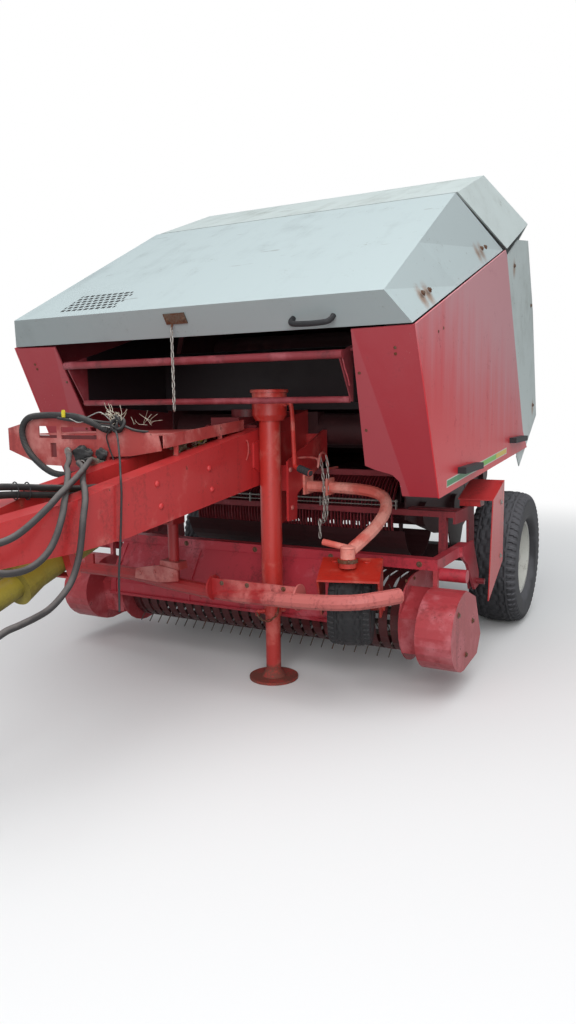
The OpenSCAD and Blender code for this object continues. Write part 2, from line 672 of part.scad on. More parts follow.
// Door sheet with the front wrap that reaches in to the open middle.
module door() {
    t = door_t;
    side_plate(half_w - t, t, door_pts);
    // Front wrap, flat between the door's front edge and its inner edge
    run = door_pts[5] - door_pts[0];
    lean = atan2(run[0], -run[1]);
    drop = norm(run);
    translate([0, lip_y, lip_z]) rotate([lean, 0, 0]) rotate([90, 0, 0])
        translate([0, 0, -t - 1]) linear_extrude(t)
            polygon([[half_w - 2, -4], [half_w - 260, -8], [half_w - 304, -600],
                     [half_w - 265, -618], [half_w - 190, -640], [half_w - 163, -672],
                     [half_w - 160, -drop + 2], [half_w - 2, -drop + 2]]);
    // Bottom flange
    side_plate(half_w - 22, 22 - t, [[-1462, 894.5], [20, 988], [20, 995], [-1462, 902]]);
}

// Black grips on the door's lower edge.
module door_grips() {
    for (g = [[-1065, 990], [-65, 1070]])
        block([half_w + seat, g[0] - 150, g[1] - 18], [half_w + 38, g[0] + 150, g[1] + 10]);
}

module door_left() centred() color("crimson") door();
module door_left_grips() centred() color("black") door_grips();
module door_right() centred() color("crimson") mirror([1, 0, 0]) door();
module door_right_grips() centred() color("black") mirror([1, 0, 0]) door_grips();

// Tailgate

// Moving half of the chamber wall.
module gate_wall() {
    r = roller_ring + roller_d / 2 + 24;
    low = seam_foot - 35 * seam_dir;
    outline = concat([hinge + [14, 8], hinge + [14, -24], hinge + 60 * seam_dir + [6, 0],
                      low + [6, 0]],
                     [for (a = [-66 : 6 : 132]) [bale[0] + r * cos(a), bale[1] + r * sin(a)]]);
    side_plate(wall_x, wall_t, outline);
    for (a = rear_angles)
        x_bar(wall_x + wall_t, wall_x + wall_t + 30, ring_at(a)[0], ring_at(a)[1], 110);
}

module tailgate_frame() centred() color("firebrick") {
    both() gate_wall();
    x_bar(-wall_x, wall_x, hinge[0] + 60, hinge[1] - 50, 60);
    for (a = [38, 0, -60])
        x_bar(-wall_x, wall_x, bale[0] + gate_bar_ring * cos(a),
              bale[1] + gate_bar_ring * sin(a), gate_bar_d);
    // Arms that carry the side covers and the shell
    both() {
        block([wall_x + wall_t, 300, 1880], [gate_x - 5, 350, 1920]);
        block([wall_x + wall_t, 380, 1240], [gate_x - 5, 430, 1280]);
        block([wall_x + 2, -300, 1950], [wall_x + 42, -260, peak_z - shell_t - 11]);
    }
}

// Curved sheet behind the rear rollers, between the cross bars.
module tailgate_back() centred() color("firebrick") {
    for (s = [[-57, -2], [2, 36], [40, 130]])
        arc_sheet(bale, roller_ring + roller_d / 2 + 6, 4, s[0], s[1]);
}

module tailgate_shell() centred() color("whitesmoke") {
    s = shell_t;
    left = [[ridge_x, gate_y, gate_z], [half_w, -388, 2052], [half_w, eave[0], eave[1]],
            [ridge_x - 8, peak[0], peak[1]], [wall_x + 60, 575, 2008]];
    inset = [[-s, s, -s], [-s, s, 0], [-s, -s, -s], [-s, 0, -s], [-s, -s, -s]];
    right = [for (p = left) [-p[0], p[1], p[2]]];
    outer = concat(left, right);
    inner = concat([for (k = [0 : 4]) left[k] + inset[k]],
                   [for (k = [0 : 4]) right[k] + [-inset[k][0], inset[k][1], inset[k][2]]]);
    faces = [[0, 5, 8, 3], [0, 3, 1], [3, 2, 1], [5, 6, 8], [8, 6, 7], [3, 8, 9, 4],
             [3, 4, 2], [8, 7, 9]];
    folded(outer, inner, faces, [1, 2, 4, 9, 7, 6, 5, 0]);
}

module gate_side() {
    side_plate(gate_x - 5, 5, [[-392, 1990], [-70, 2150], [200, 2190], [400, 1810],
                               [600, 1187], [130, 897], [60, 960], [110, 1110]]);
}
module tailgate_side_left() centred() color("whitesmoke") gate_side();
module tailgate_side_right() centred() color("whitesmoke") mirror([1, 0, 0]) gate_side();

module rear_rollers() centred() color("indianred") {
    for (a = rear_angles) roller(a);
}

// Lamp boards on the tailgate's lower rear.
module tail_lamps() centred() color("darkred") {
    both() block([wall_x + wall_t, 780, 1000], [wall_x + 250, 800, 1130]);
    both() block([wall_x + 90, 800, 1020], [wall_x + 230, 835, 1110]);
}

// Pickup

beam_p = [-1250, 535];
strip_a = -58;
strip_y = -903;

module pickup_frame() centred() color("indianred") {
    block([-905, beam_p[0], beam_p[1]], [905, beam_p[0] + 60, beam_p[1] + 50]);
    both() {
        block([905 + seat, beam_p[0], beam_p[1]], [945, -762, beam_p[1] + 50]);
        difference() {
            side_plate(945, 14, [[-900, beam_p[1] + 50], [-700, beam_p[1] + 50], [-580, 400],
                                 [-580, 330], [-650, 320], [-800, 480], [-900, beam_p[1]]]);
            x_bar(940, 965, pivot[0], pivot[1], pivot_d + 2 * seat);
        }
        x_bar(925, 1065, beam_p[0] + 55, beam_p[1] - 24, 60);
    }
    block([-lobe_x, strip_y, 440], [lobe_x, strip_y + 38, 480]);
}

// One band: an arc from below the reel, round its front and flat back over its top.
module band() {
    c = [reel_y, reel_z];
    outer = [for (a = [strip_a + 360 : -12 : 90]) c + band_r * [cos(a), sin(a)]];
    inner = [for (a = [90 : 12 : strip_a + 360]) c + (band_r - 4) * [cos(a), sin(a)]];
    side_plate(-(band_pitch - band_slot) / 2, band_pitch - band_slot,
               concat(outer, [c + [0, band_r], [strip_y - seat, 470]],
                      [[strip_y - seat, 466], c + [0, band_r - 4]],
                      inner));
}

module pickup_bands() centred() color("brown") {
    for (k = [0 : bands - 1]) translate([(k - (bands - 1) / 2) * band_pitch, 0, 0]) band();
}

// Sheet that leads down and forward from the cross beam.
module windguard() centred() color("indianred") {
    side_plate(-band_half - 60, band_half + 60 + 500,
               [beam_p, [beam_p[0] - 90, 400], [beam_p[0] - 118, 340], [beam_p[0] - 120, 275],
                [beam_p[0] - 124, 275], [beam_p[0] - 122, 342], [beam_p[0] - 94, 404],
                [beam_p[0] - 4, beam_p[1] + 4]]);
}

// End housing: a rounded lobe inside and the drive's box outside.
module pickup_end() {
    lobe = [for (a = [90 : 12 : 282]) [reel_y - 40, reel_z] + 205 * [cos(a), sin(a)]];
    side_plate(lobe_x, 8, concat(lobe, [[-905, 130], [-865, 200], [-865, 490]]));
    box = [for (a = [85 : 13 : 267]) [-1270 + 215 * cos(a), 284 + 178 * sin(a)]];
    side_plate(920, 1080 - 920, concat(box, [[-1060, 120], [-1000, 200], [-1100, 400]]));
    block([925, -1250, 440], [945, -1226, beam_p[1] - seat]);
    side_plate(lobe_x + 8, 920 - lobe_x - 8, [[-1180, 440], [-1350, 330], [-1320, 160],
                                              [-1160, 140]]);
}
module pickup_end_left() centred() color("brown") pickup_end();
module pickup_end_right() centred() color("brown") mirror([1, 0, 0]) pickup_end();

// Reel: shaft, four tine bars and the tines in the slots between the bands.
module pickup_reel() centred() color("gray") {
    translate([0, reel_y, reel_z]) {
        x_bar(-lobe_x + seat, lobe_x - seat, 0, 0, 40);
        for (q = [45 : 90 : 315]) rotate([q, 0, 0]) {
            x_bar(-band_half + 10, band_half - 10, 0, 120, 24);
            for (k = [1 : bands - 1]) translate([(k - bands / 2) * band_pitch, 0, 120])
                cylinder(d = tine_d, h = tine_r - 120, $fn = 6);
            for (x = [-band_half + 40, -10, band_half - 50])
                block([x, -15, 0], [x + 10, 15, 120]);
        }
    }
}

// Feed rotor with rows of tines.
module feed_rotor() centred() color("gray") {
    translate([0, rotor_c[0], rotor_c[1]]) {
        x_bar(-wall_x + 6, wall_x - 6, 0, 0, 120);
        x_bar(-wall_x + seat, wall_x - seat, 0, 0, 60);
        for (k = [0 : 20]) translate([-560 + 56 * k, 0, 0]) rotate([30 * (k % 4), 0, 0])
            side_plate(-4, 8, [for (q = [0 : 3]) each [
                [55 * cos(90 * q - 40), 55 * sin(90 * q - 40)],
                [rotor_d / 2 * cos(90 * q), rotor_d / 2 * sin(90 * q)],
                [55 * cos(90 * q + 20), 55 * sin(90 * q + 20)]]]);
    }
}

// Sliding leg with its round foot.
module jack_leg() centred() color("brown") {
    translate([jack_x, jack_y, 0]) {
        cylinder(d = foot_d, h = 12, $fn = fine);
        cylinder(d1 = 130, d2 = jack_leg_d, h = 45, $fn = fine);
        cylinder(d = jack_leg_d, h = 900, $fn = fine);
    }
}

// Gauge wheel

gauge_rim_d = 200;

stem_z = 638;

// Sloping box that holds the wheel, under its stem: drawn around the wheel's middle.
module gauge_fork() centred() color("orangered") {
    w = gauge_w / 2 + 40;
    front = [-160, 556 - gauge_pos[2]];
    back = [30, 614 - gauge_pos[2]];
    translate(gauge_pos) rotate([0, 0, gauge_turn]) {
        side_plate(-w, 2 * w, [front, back, back + [0, 9], front + [0, 9]]);
        for (x = [-w, w - 8])
            side_plate(x, 8, [front, [-55, -28], [40, -28], back, back + [0, 4],
                              front + [0, 4]]);
        x_bar(-w + 4, w - 4, 0, 0, 24);
    }
    translate([stem_pos[0], stem_pos[1], 600])
        cylinder(d = 76, h = stem_z - seat - 600, $fn = fine);
}

// What turns with the gauge wheel is drawn along x and then set on its place.
module on_gauge() translate(gauge_pos) rotate([0, 0, gauge_turn]) children();

module gauge_rim() centred() color("gainsboro") on_gauge() rim(gauge_w, gauge_rim_d, 60, 24, 10);
module gauge_tyre() centred() color("black") on_gauge() tyre(gauge_w, gauge_d, gauge_rim_d);

side_wall_left();
side_wall_right();
cross_frame();
axle();
front_rollers();
drawbar();
hitch_eye();
jack_tube();
guard_bar();
gearbox();
pto_shaft();
hose_shield();
net_tray();
feeder_frame();
feeder_floor();
wheel_guard_left();
wheel_guard_right();
gauge_arm();
hang_chain();
hoses();
cable();
hose_couplers();
conduit();
rim_left();
tyre_left();
rim_right();
tyre_right();
hood_shell();
hood_grip();
hood_chain();
door_left();
door_left_grips();
door_right();
door_right_grips();
tailgate_frame();
tailgate_back();
tailgate_shell();
tailgate_side_left();
tailgate_side_right();
rear_rollers();
tail_lamps();
pickup_frame();
pickup_bands();
windguard();
pickup_end_left();
pickup_end_right();
pickup_reel();
feed_rotor();
jack_leg();
gauge_fork();
gauge_rim();
gauge_tyre();
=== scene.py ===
# Round baler, parked on its two wheels and its jack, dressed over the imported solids.
import math

import bmesh
import bpy
import numpy as np
from mathutils import Matrix, Vector


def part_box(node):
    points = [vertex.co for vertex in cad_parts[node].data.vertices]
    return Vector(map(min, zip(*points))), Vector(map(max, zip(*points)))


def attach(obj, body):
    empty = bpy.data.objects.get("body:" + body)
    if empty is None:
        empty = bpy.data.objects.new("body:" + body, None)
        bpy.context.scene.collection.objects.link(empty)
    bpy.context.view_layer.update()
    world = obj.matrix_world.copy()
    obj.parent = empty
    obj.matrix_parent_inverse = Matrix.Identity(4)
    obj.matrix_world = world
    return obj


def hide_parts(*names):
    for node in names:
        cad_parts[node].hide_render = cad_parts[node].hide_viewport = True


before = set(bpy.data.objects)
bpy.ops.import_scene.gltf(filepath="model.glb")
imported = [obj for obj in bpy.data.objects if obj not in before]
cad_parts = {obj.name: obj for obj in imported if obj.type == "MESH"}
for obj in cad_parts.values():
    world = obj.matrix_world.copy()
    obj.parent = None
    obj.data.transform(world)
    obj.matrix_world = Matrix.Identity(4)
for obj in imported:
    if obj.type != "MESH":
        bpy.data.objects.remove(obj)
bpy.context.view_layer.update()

# Camera
# It stands ahead of the machine's front left corner, at a walker's eye height, and looks
# back along the hood. All places below are in millimetres from the middle of the wheel
# axle on the ground: x to the machine's left, y to the rear, z up.

axle_low, axle_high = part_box("axle")
AXLE_Y = (axle_low.y + axle_high.y) / 2


def place(points):
    """Places in millimetres from the axle as metres in the frame: a thousandth of each, moved back
    by the axle's place."""
    return np.asarray(points, float) / 1000 + (0, AXLE_Y, 0)


LEFT, REAR, UP, AHEAD = (1, 0, 0), (0, 1, 0), (0, 0, 1), (0, -1, 0)
SIDES = ((1, "left"), (-1, "right"))

EYE = (1969, -4544, 1297)
HEADING = 28.35  # degrees that the view turns to the machine's right
DIP = 8.15  # degrees that it looks down
TILT = -0.79  # degrees that it leans
FOCAL = 27.26  # millimetres, for a frame whose long side is 36

camera = bpy.data.objects.new("camera", bpy.data.cameras.new("camera"))
bpy.context.scene.collection.objects.link(camera)
camera.data.lens = FOCAL
camera.data.sensor_width = 36
camera.data.clip_end = 100
camera.matrix_world = (
    Matrix.Translation(place(EYE))
    @ Matrix.Rotation(math.radians(HEADING), 4, "Z")
    @ Matrix.Rotation(math.radians(90 - DIP), 4, "X")
    @ Matrix.Rotation(math.radians(TILT), 4, "Z")
)
bpy.context.scene.camera = camera
bpy.context.scene.view_settings.view_transform = "Standard"


# Hoses and cable
# Three hydraulic hoses leave the bent sheet over the drawbar, hang over its near beam and
# lie on the ground at its far side, where their couplers are. The lamp cable hangs from
# the sheet's knot. The hoses are rubber of 22 mm, grey with dust.


def eased(points, steps):
    """A smooth line through points: between two of them the Catmull-Rom cubic of the four nearest,
    at equal steps of its parameter."""
    p = np.asarray(points, float)
    p = np.vstack([p[:1], p, p[-1:]])
    t = (np.arange(steps) / steps)[None, :, None]
    a, b, c, d = p[:-3, None], p[1:-2, None], p[2:-1, None], p[3:, None]
    line = 0.5 * (
        2 * b + (c - a) * t + (2 * a - 5 * b + 4 * c - d) * t**2 + (3 * b - a - 3 * c + d) * t**3
    )
    return np.vstack([line.reshape(-1, 3), p[-1:]])


def ring_faces(rings, sides, closed=False):
    """Corner numbers of the faces between rings of points. A face fills each end, or else the last
    ring is joined to the first."""
    near = np.arange(rings if closed else rings - 1)[:, None] * sides
    far = (near + sides) % (rings * sides)
    j = np.arange(sides)[None, :]
    k = (j + 1) % sides
    faces = np.stack([near + j, near + k, far + k, far + j], -1).reshape(-1, 4).tolist()
    last = (rings - 1) * sides
    return faces if closed else faces + [list(range(sides)), list(range(last, last + sides))]


def unit(v):
    """Vectors of length one: each divided by its own length."""
    v = np.asarray(v, float)
    return v / np.linalg.norm(v, axis=-1, keepdims=True)


def tube(line, radius, sides):
    """A closed tube round a line: at each point a ring at that radius, in two directions square to
    the line that are carried along it without twist."""
    p = np.asarray(line, float)
    heading = unit(np.gradient(p, axis=0))
    side = np.cross(heading[0], UP if abs(heading[0, 2]) < 0.8 else LEFT)
    across = []
    for h in heading:
        side = unit(side - side @ h * h)
        across.append(side)
    across = np.array(across)[:, None]
    over = np.cross(heading[:, None], across)
    turn = (2 * math.pi * np.arange(sides) / sides)[None, :, None]
    radius = np.broadcast_to(np.asarray(radius, float), len(p))[:, None, None]
    rings = p[:, None] + radius * (np.cos(turn) * across + np.sin(turn) * over)
    return rings.reshape(-1, 3), ring_faces(len(p), sides)


def wire(points, radius, sides, steps=6):
    """A tube along the eased line of some points."""
    return tube(eased(points, steps), radius, sides)


def turned(profile, centre, axis, sides):
    """A turned form: each profile pair is a radius and a place along the axis from centre, and its
    point is carried round the axis in equal steps. Flat faces close its two ends."""
    r, t = np.asarray(profile, float).T[:, :, None, None]
    axis = unit(axis)
    u = unit(np.cross(axis, UP if abs(axis[2]) < 0.8 else LEFT))
    v = np.cross(axis, u)
    turn = (2 * math.pi * (np.arange(sides) + 0.5) / sides)[None, :, None]
    rings = np.asarray(centre, float) + t * axis + r * (np.cos(turn) * u + np.sin(turn) * v)
    return rings.reshape(-1, 3), ring_faces(len(profile), sides)


def joined(*parts):
    """Several forms as one: their points in a row, with the face numbers moved on by the points
    before them."""
    points, faces, start = [], [], 0
    for p, f in parts:
        points.append(p)
        faces += [[k + start for k in face] for face in f]
        start += len(p)
    return np.vstack(points), faces


def made(name, form, finish, body="chassis", replaces=(), smooth=35):
    """The form as a mesh piece in metres of the frame, with its faces turned outwards and its edges
    kept sharp past the angle smooth, which rides on a body."""
    points, faces = form
    mesh = bpy.data.meshes.new(name)
    mesh.from_pydata(place(points), [], faces)
    work = bmesh.new()
    work.from_mesh(mesh)
    bmesh.ops.recalc_face_normals(work, faces=work.faces)
    work.to_mesh(mesh)
    work.free()
    mesh.polygons.foreach_set("use_smooth", [True] * len(mesh.polygons))
    mesh.set_sharp_from_angle(angle=math.radians(smooth))
    mesh.materials.append(finish.material)
    piece = bpy.data.objects.new(name, mesh)
    bpy.context.scene.collection.objects.link(piece)
    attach(piece, body)
    for node in replaces:
        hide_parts(node)
    return piece


class Value:
    """A number, a colour or a shader's output in a tree. Arithmetic on it adds Math nodes."""

    def __init__(self, nodes, socket):
        self.nodes = nodes
        self.socket = socket

    def math(self, operation, *others):
        """A Math node's result with this value first."""
        return self.nodes.node("Math", {"operation": operation}, dict(enumerate((self, *others))))

    def __add__(self, other):
        return self.math("ADD", other)

    def __sub__(self, other):
        return self.math("SUBTRACT", other)

    def __rsub__(self, other):
        return self.math("MULTIPLY_ADD", -1, other)

    def __mul__(self, other):
        return self.math("MULTIPLY", other)

    __radd__ = __add__
    __rmul__ = __mul__


class Nodes:
    """A tree whose nodes all come from one method."""

    def __init__(self, tree):
        self.tree = tree

    def node(self, kind, settings={}, values={}, out=0):
        """A node of a kind, with its settings made first, then its sockets given values or
        links."""
        node = self.tree.nodes.new("ShaderNode" + kind)
        for key, value in settings.items():
            setattr(node, key, value)
        for key, value in values.items():
            if isinstance(value, Value):
                self.tree.links.new(value.socket, node.inputs[key])
            else:
                node.inputs[key].default_value = value
        return Value(self, node.outputs[out])


class Finish(Nodes):
    """A material, with the slot of the pieces made in it. Its patterns lie on Object
    coordinates."""

    def __init__(self, name, slot=None, **fixed):
        self.slot = slot
        self.material = bpy.data.materials.new(name)
        self.material.use_nodes = True
        super().__init__(self.material.node_tree)
        self.shader = self.tree.nodes["Principled BSDF"]
        for socket, value in fixed.items():
            self.shader.inputs[socket.replace("_", " ")].default_value = value
        self.at = self.node("TexCoord", out="Object")

    def noise(self, scale, detail=4, rough=0.55, stretch=(1, 1, 1)):
        """Cloudy noise round a half, with its pattern stretched along an axis by a small factor."""
        at = self.node("Mapping", {}, {"Vector": self.at, "Scale": stretch})
        return self.node(
            "TexNoise", {}, {"Vector": at, "Scale": scale, "Detail": detail, "Roughness": rough}
        )

    def step(self, value, low, high):
        """Zero below low, one above high and an s-curve between them."""
        return self.node(
            "MapRange", {"interpolation_type": "SMOOTHSTEP"}, {0: value, 1: low, 2: high}
        )

    def mix(self, share, a, b):
        """Colour a where share is zero and b where it is one."""
        full = [c if isinstance(c, Value) else (*c, 1) for c in (a, b)]
        return self.node("Mix", {"data_type": "RGBA"}, {0: share, 6: full[0], 7: full[1]}, 2)

    def part(self, axis):
        """One axis of the place, in metres of the frame."""
        return self.node("SeparateXYZ", {}, {0: self.at}, axis)

    def up(self):
        """How far a face looks up: one on a flat top, zero on a wall, less below."""
        return self.node("SeparateXYZ", {}, {0: self.node("TexCoord", out="Normal")}, "Z")

    def feed(self, socket, value):
        """A link into the shader's socket."""
        self.tree.links.new(value.socket, self.shader.inputs[socket])

    def relief(self, height, depth):
        """Bumps of a height value, as deep as depth metres where the height is one."""
        self.feed("Normal", self.node("Bump", {}, {"Height": height, "Distance": depth}))

    def coat(self, colour, rough, height, depth):
        """The colour, the roughness and the bumps together."""
        self.feed("Base Color", colour)
        self.feed("Roughness", rough)
        self.relief(height, depth)


DUST = (0.3, 0.27, 0.235)
RUST = (0.17, 0.062, 0.03)


def dusty_rubber(name, clean, dusty, share, grain=260, slot="black_rubber"):
    """Black rubber under dust: dust lies in cloudy patches and thickest on what faces up, over a
    fine pebbled grain."""
    f = Finish(name, slot, Specular_IOR_Level=0.35)
    cloud = f.noise(6, 5, 0.6)
    fine = f.noise(grain, 3)
    lying = f.step(cloud + 0.45 * f.up(), 0.75 - share, 1.2 - share)
    colour = f.mix(lying * 0.85 + 0.25 * fine, clean, dusty)
    f.coat(colour, 0.62 + 0.25 * lying, fine + 0.6 * cloud, 0.0006)
    return f


ROUTES = {
    "hose_1": [
        (-381, -2114.4, 1102), (-341, -2158, 1084), (-300, -2202, 1066), (-200, -2318, 1055),
        (-100, -2416, 1048), (0, -2523, 1032), (90, -2625, 1005), (158, -2702, 992),
        (191, -2750, 948), (200, -2790, 888), (200, -2830, 843), (200, -2885, 815),
        (198, -2941, 806), (182, -3000, 812), (142, -3045, 840), (85, -3052, 868), (20, -3020, 896),
        (-54, -2985, 888), (-108, -2962, 815), (-135, -2945, 690), (-150, -2925, 480),
        (-168, -2905, 260), (-205, -2875, 110), (-285, -2830, 35), (-390, -2770, 17),
        (-490, -2715, 16),
    ],
    "hose_2": [
        (-194, -2107.3, 1052), (-193, -2150, 1055), (-168, -2210, 1072), (-120, -2272, 1080),
        (-70, -2340, 1076), (-10, -2430, 1062), (60, -2543, 1044), (122, -2644, 1031),
        (174, -2738, 1014), (196, -2804, 988), (200, -2858, 959), (200, -2912, 931),
        (197, -2962, 911), (182, -3012, 900), (142, -3052, 898), (85, -3074, 900), (20, -3052, 899),
        (-56, -3014, 890), (-105, -2996, 825), (-135, -2987, 700), (-152, -2982, 480),
        (-175, -2967, 250), (-215, -2930, 105), (-300, -2895, 35), (-400, -2860, 17),
        (-500, -2830, 16),
    ],
    "hose_3": [
        (-313, -2114.4, 1051), (-262, -2172, 1060), (-212, -2240, 1066), (-130, -2306, 1055),
        (-30, -2414, 1032), (70, -2520, 1021), (148, -2598, 1013), (187, -2640, 982),
        (200, -2668, 924), (200, -2681, 859), (200, -2699, 797), (200, -2736, 732),
        (200, -2787, 691), (200, -2840, 665), (200, -2894, 654), (200, -2954, 647),
        (195, -3015, 638), (175, -3066, 600), (145, -3096, 510), (105, -3105, 380),
        (60, -3092, 240), (0, -3070, 120), (-80, -3040, 50), (-190, -3015, 18), (-330, -2990, 16),
        (-480, -2955, 16),
    ],
    "lamp_cable": [
        (-111, -2107.9, 1190), (-110, -2128, 1189), (-60, -2180, 1168), (0, -2245, 1132),
        (80, -2335, 1088), (140, -2405, 1060), (170, -2440, 1035), (180, -2451, 1000),
        (180, -2453, 962), (178, -2467, 805), (178, -2481, 700), (178, -2487, 568),
    ],
}
hose_rubber = dusty_rubber(
    "hose rubber", (0.03, 0.028, 0.03), (0.17, 0.155, 0.15), 0.22, slot="hose_rubber"
)
cable_rubber = dusty_rubber("cable rubber", (0.02, 0.02, 0.022), (0.1, 0.1, 0.1), 0.1)


def bare_steel(name, bright, stained, rusty):
    """Bare steel: cloudy stains over a fine grain, and rust in small patches whose share is
    rusty."""
    f = Finish(name, "bare_steel", Metallic=0.6)
    cloud = f.noise(14, 5, 0.62)
    fine = f.noise(170, 3)
    rust = f.step(cloud * 0.6 + fine * 0.4, 0.64 - 0.3 * rusty, 0.74 - 0.2 * rusty)
    f.coat(f.mix(rust, f.mix(fine, bright, stained), RUST), 0.42 + 0.4 * rust, fine + rust, 0.0005)
    return f


coupler_steel = bare_steel("coupler steel", (0.42, 0.41, 0.39), (0.24, 0.22, 0.2), 0.25)

NOSE = [(10.5, 22), (10.5, 52), (8.5, 54), (8.5, 59), (10.5, 61), (8, 69)]
# Diameter, finish, the node that it replaces, far end and stiffness
HOSE = (22, hose_rubber, "hoses", "fitting", "stiff")
CABLE = (8, cable_rubber, "cable", "bare", "medium")
for name, route in ROUTES.items():
    diameter, rubber, node, far_end, stiffness = CABLE if name == "lamp_cable" else HOSE
    line = eased(route, 6)
    cord = made(name, tube(line, diameter / 2, 14), rubber, replaces=[node])
    ends = []
    if far_end == "fitting":
        # Quick coupler: crimped sleeve, six-sided body, groove and nose
        tip = line[-1]
        run = unit(line[-1] - line[-2])
        form = joined(
            turned([(14, -24), (14, 0), (12, 2)], tip, run, 18),
            turned([(14.5, 2), (14.5, 22)], tip, run, 6),
            turned(NOSE, tip, run, 24),
        )
        form[0][:, 2] = np.maximum(form[0][:, 2], 0.5)
        ends = [made(name + "_end", form, coupler_steel, replaces=["hose_couplers"])]


# Studio
# Pale floor that turns white far off, a white sky, one large lamp overhead and a smaller
# one low ahead: the light of an overcast day, bright on what faces up, soft on the sides.

FLOOR_DROP = 1.0
FLOOR_SIZE = 60000
CLEAR_WITHIN, WHITE_PAST = 6.0, 45.0  # squares of two distances in metres

ground = Finish("studio floor", Roughness=1.0, Specular_IOR_Level=0.0, Emission_Strength=1.0)
seen = ground.node("LightPath", out="Is Camera Ray")
glossy = ground.node("LightPath", out="Is Glossy Ray")
clear = seen.math("MAXIMUM", glossy)
aside, beyond = ground.part(0), ground.part(1)
far = ground.step(aside * aside + beyond * beyond, CLEAR_WITHIN, WHITE_PAST) * clear
pale = ground.mix(clear, (0.26, 0.26, 0.26), (0.88, 0.88, 0.88))
ground.feed("Base Color", ground.mix(far, pale, (0, 0, 0)))
ground.feed("Emission Color", ground.mix(far, (0, 0, 0), (1, 1, 1)))
half = FLOOR_SIZE / 2
corners = [(x * half, y * half, -FLOOR_DROP) for x, y in ((-1, -1), (1, -1), (1, 1), (-1, 1))]
floor_mesh = bpy.data.meshes.new("floor")
floor_mesh.from_pydata(place(corners), [], [(0, 1, 2, 3)])
floor_mesh.materials.append(ground.material)
floor = bpy.data.objects.new("floor", floor_mesh)
bpy.context.scene.collection.objects.link(floor)

world = bpy.data.worlds.new("sky")
world.use_nodes = True
bpy.context.scene.world = world
sky = Nodes(world.node_tree)
sky.tree.nodes.remove(sky.tree.nodes["Background"])
seen = sky.node("LightPath", out="Is Camera Ray")
through = sky.node("LightPath", out="Is Transmission Ray")
plain = sky.node("Background", {}, {"Color": (0.93, 0.97, 1.0, 1), "Strength": 0.42})
white = sky.node("Background", {}, {"Color": (1, 1, 1, 1), "Strength": 1.0})
either = sky.node("MixShader", {}, {"Fac": seen.math("MAXIMUM", through), 1: plain, 2: white})
sky.tree.links.new(either.socket, sky.tree.nodes["World Output"].inputs["Surface"])


def lamp(name, spot, aim, size, power):
    """A square lamp of that size in metres at spot, turned towards aim."""
    light = bpy.data.objects.new(name, bpy.data.lights.new(name, "AREA"))
    light.data.size = size
    light.data.energy = power
    bpy.context.scene.collection.objects.link(light)
    start, end = place(spot), place(aim)
    light.location = start
    light.rotation_mode = "QUATERNION"
    light.rotation_quaternion = Vector(end - start).to_track_quat("-Z", "Y")


lamp("overcast", (1500, -2500, 7500), (0, -600, 900), 9.0, 380)
lamp("front_fill", (3500, -8500, 3200), (0, -1200, 900), 5.0, 330)


# Paints
# Every red sheet and tube left the works in the same red. Where rain and sun reach it, it has gone
# chalky and pink; inside the machine it is dark with dust and oil, and painted darker still as
# shade.


def worn_paint(name, fresh, faded, deep, shares, slot="worn_red", lean=None, painted_shade=None):
    """Old paint on steel: broad clouds choose between the fresh and the faded colour, upright
    streaks darken it, small chips show rust, and dust lies on what faces up. A lean adds fading
    along an axis past a middle, and a painted shade darkens all past two places on an axis towards
    a dark colour, where the part lies in shadow. The shares are fading, chips and dust, and last
    the roughness."""
    fade, chips, dust, rough = shares
    f = Finish(name, slot)
    broad = f.noise(2.3, 4)
    patch = f.noise(11, 6, 0.62)
    fine = f.noise(75, 4, 0.65)
    streak = f.noise(13, 4, 0.6, (1, 1, 0.1))
    cloud = broad * 0.55 + patch * 0.45
    if lean:
        axis, middle, rise = lean
        cloud = cloud + rise * (f.part(axis) - middle)
    pale = f.step(cloud, 0.66 - 0.3 * fade, 0.78 - 0.25 * fade)
    colour = f.mix(pale, fresh, faded)
    colour = f.mix(f.step(streak * 0.6 + fine * 0.4, 0.5, 0.68) * 0.7, colour, deep)
    lying = f.step(f.up() * 0.35 + patch * 0.4 + fine * 0.4, 0.72, 1.0) * dust
    colour = f.mix(lying, colour, DUST)
    chip = f.step(fine * 0.5 + patch * 0.5, 0.69 - 0.14 * chips, 0.715 - 0.14 * chips)
    rust = f.mix(f.noise(140, 2), RUST, (0.06, 0.03, 0.022))
    colour = f.mix(chip, colour, rust)
    # Painted shade: past the two places the colour turns to the dark one.
    if painted_shade:
        axis, low, high, dark = painted_shade
        moved = AXLE_Y if axis == 1 else 0
        colour = f.mix(f.step(f.part(axis), low / 1000 + moved, high / 1000 + moved), colour, dark)
    rough = rough + 0.12 * pale + 0.3 * lying + 0.35 * chip
    f.coat(colour, rough, fine * 0.5 + patch * 0.5 - chip * 0.5, 0.0007)
    return f


def dress(finish, *nodes):
    """The solids' own surfaces get the finish."""
    for node in nodes:
        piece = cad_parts[node]
        for held in piece.material_slots:
            held.material = finish.material


bright_red = worn_paint(
    "bright red paint", (0.56, 0.036, 0.038), (0.66, 0.17, 0.15), (0.27, 0.02, 0.018),
    (0.4, 0.36, 0.25, 0.33), "bright_red",
)
worn_red = worn_paint(
    "worn red paint", (0.42, 0.06, 0.055), (0.6, 0.22, 0.2), (0.26, 0.03, 0.03),
    (0.75, 0.38, 0.3, 0.45),
)
dark_red = worn_paint(
    "inner red paint", (0.15, 0.022, 0.024), (0.23, 0.065, 0.07), (0.05, 0.014, 0.016),
    (0.45, 0.3, 0.5, 0.5),
)
dress(bright_red, "drawbar", "hitch_eye", "wheel_guard_left", "wheel_guard_right")
dress(worn_red, "hose_shield")
dress(bare_steel("dark chain steel", (0.22, 0.2, 0.18), (0.12, 0.1, 0.09), 0.55), "pickup_reel")


# Wheels
# Implement tyres of 760 mm on pressed rims painted off-white, held by six nuts each. The
# tread has a ribbed middle and blocks on both shoulders that wrap down over the sidewall.


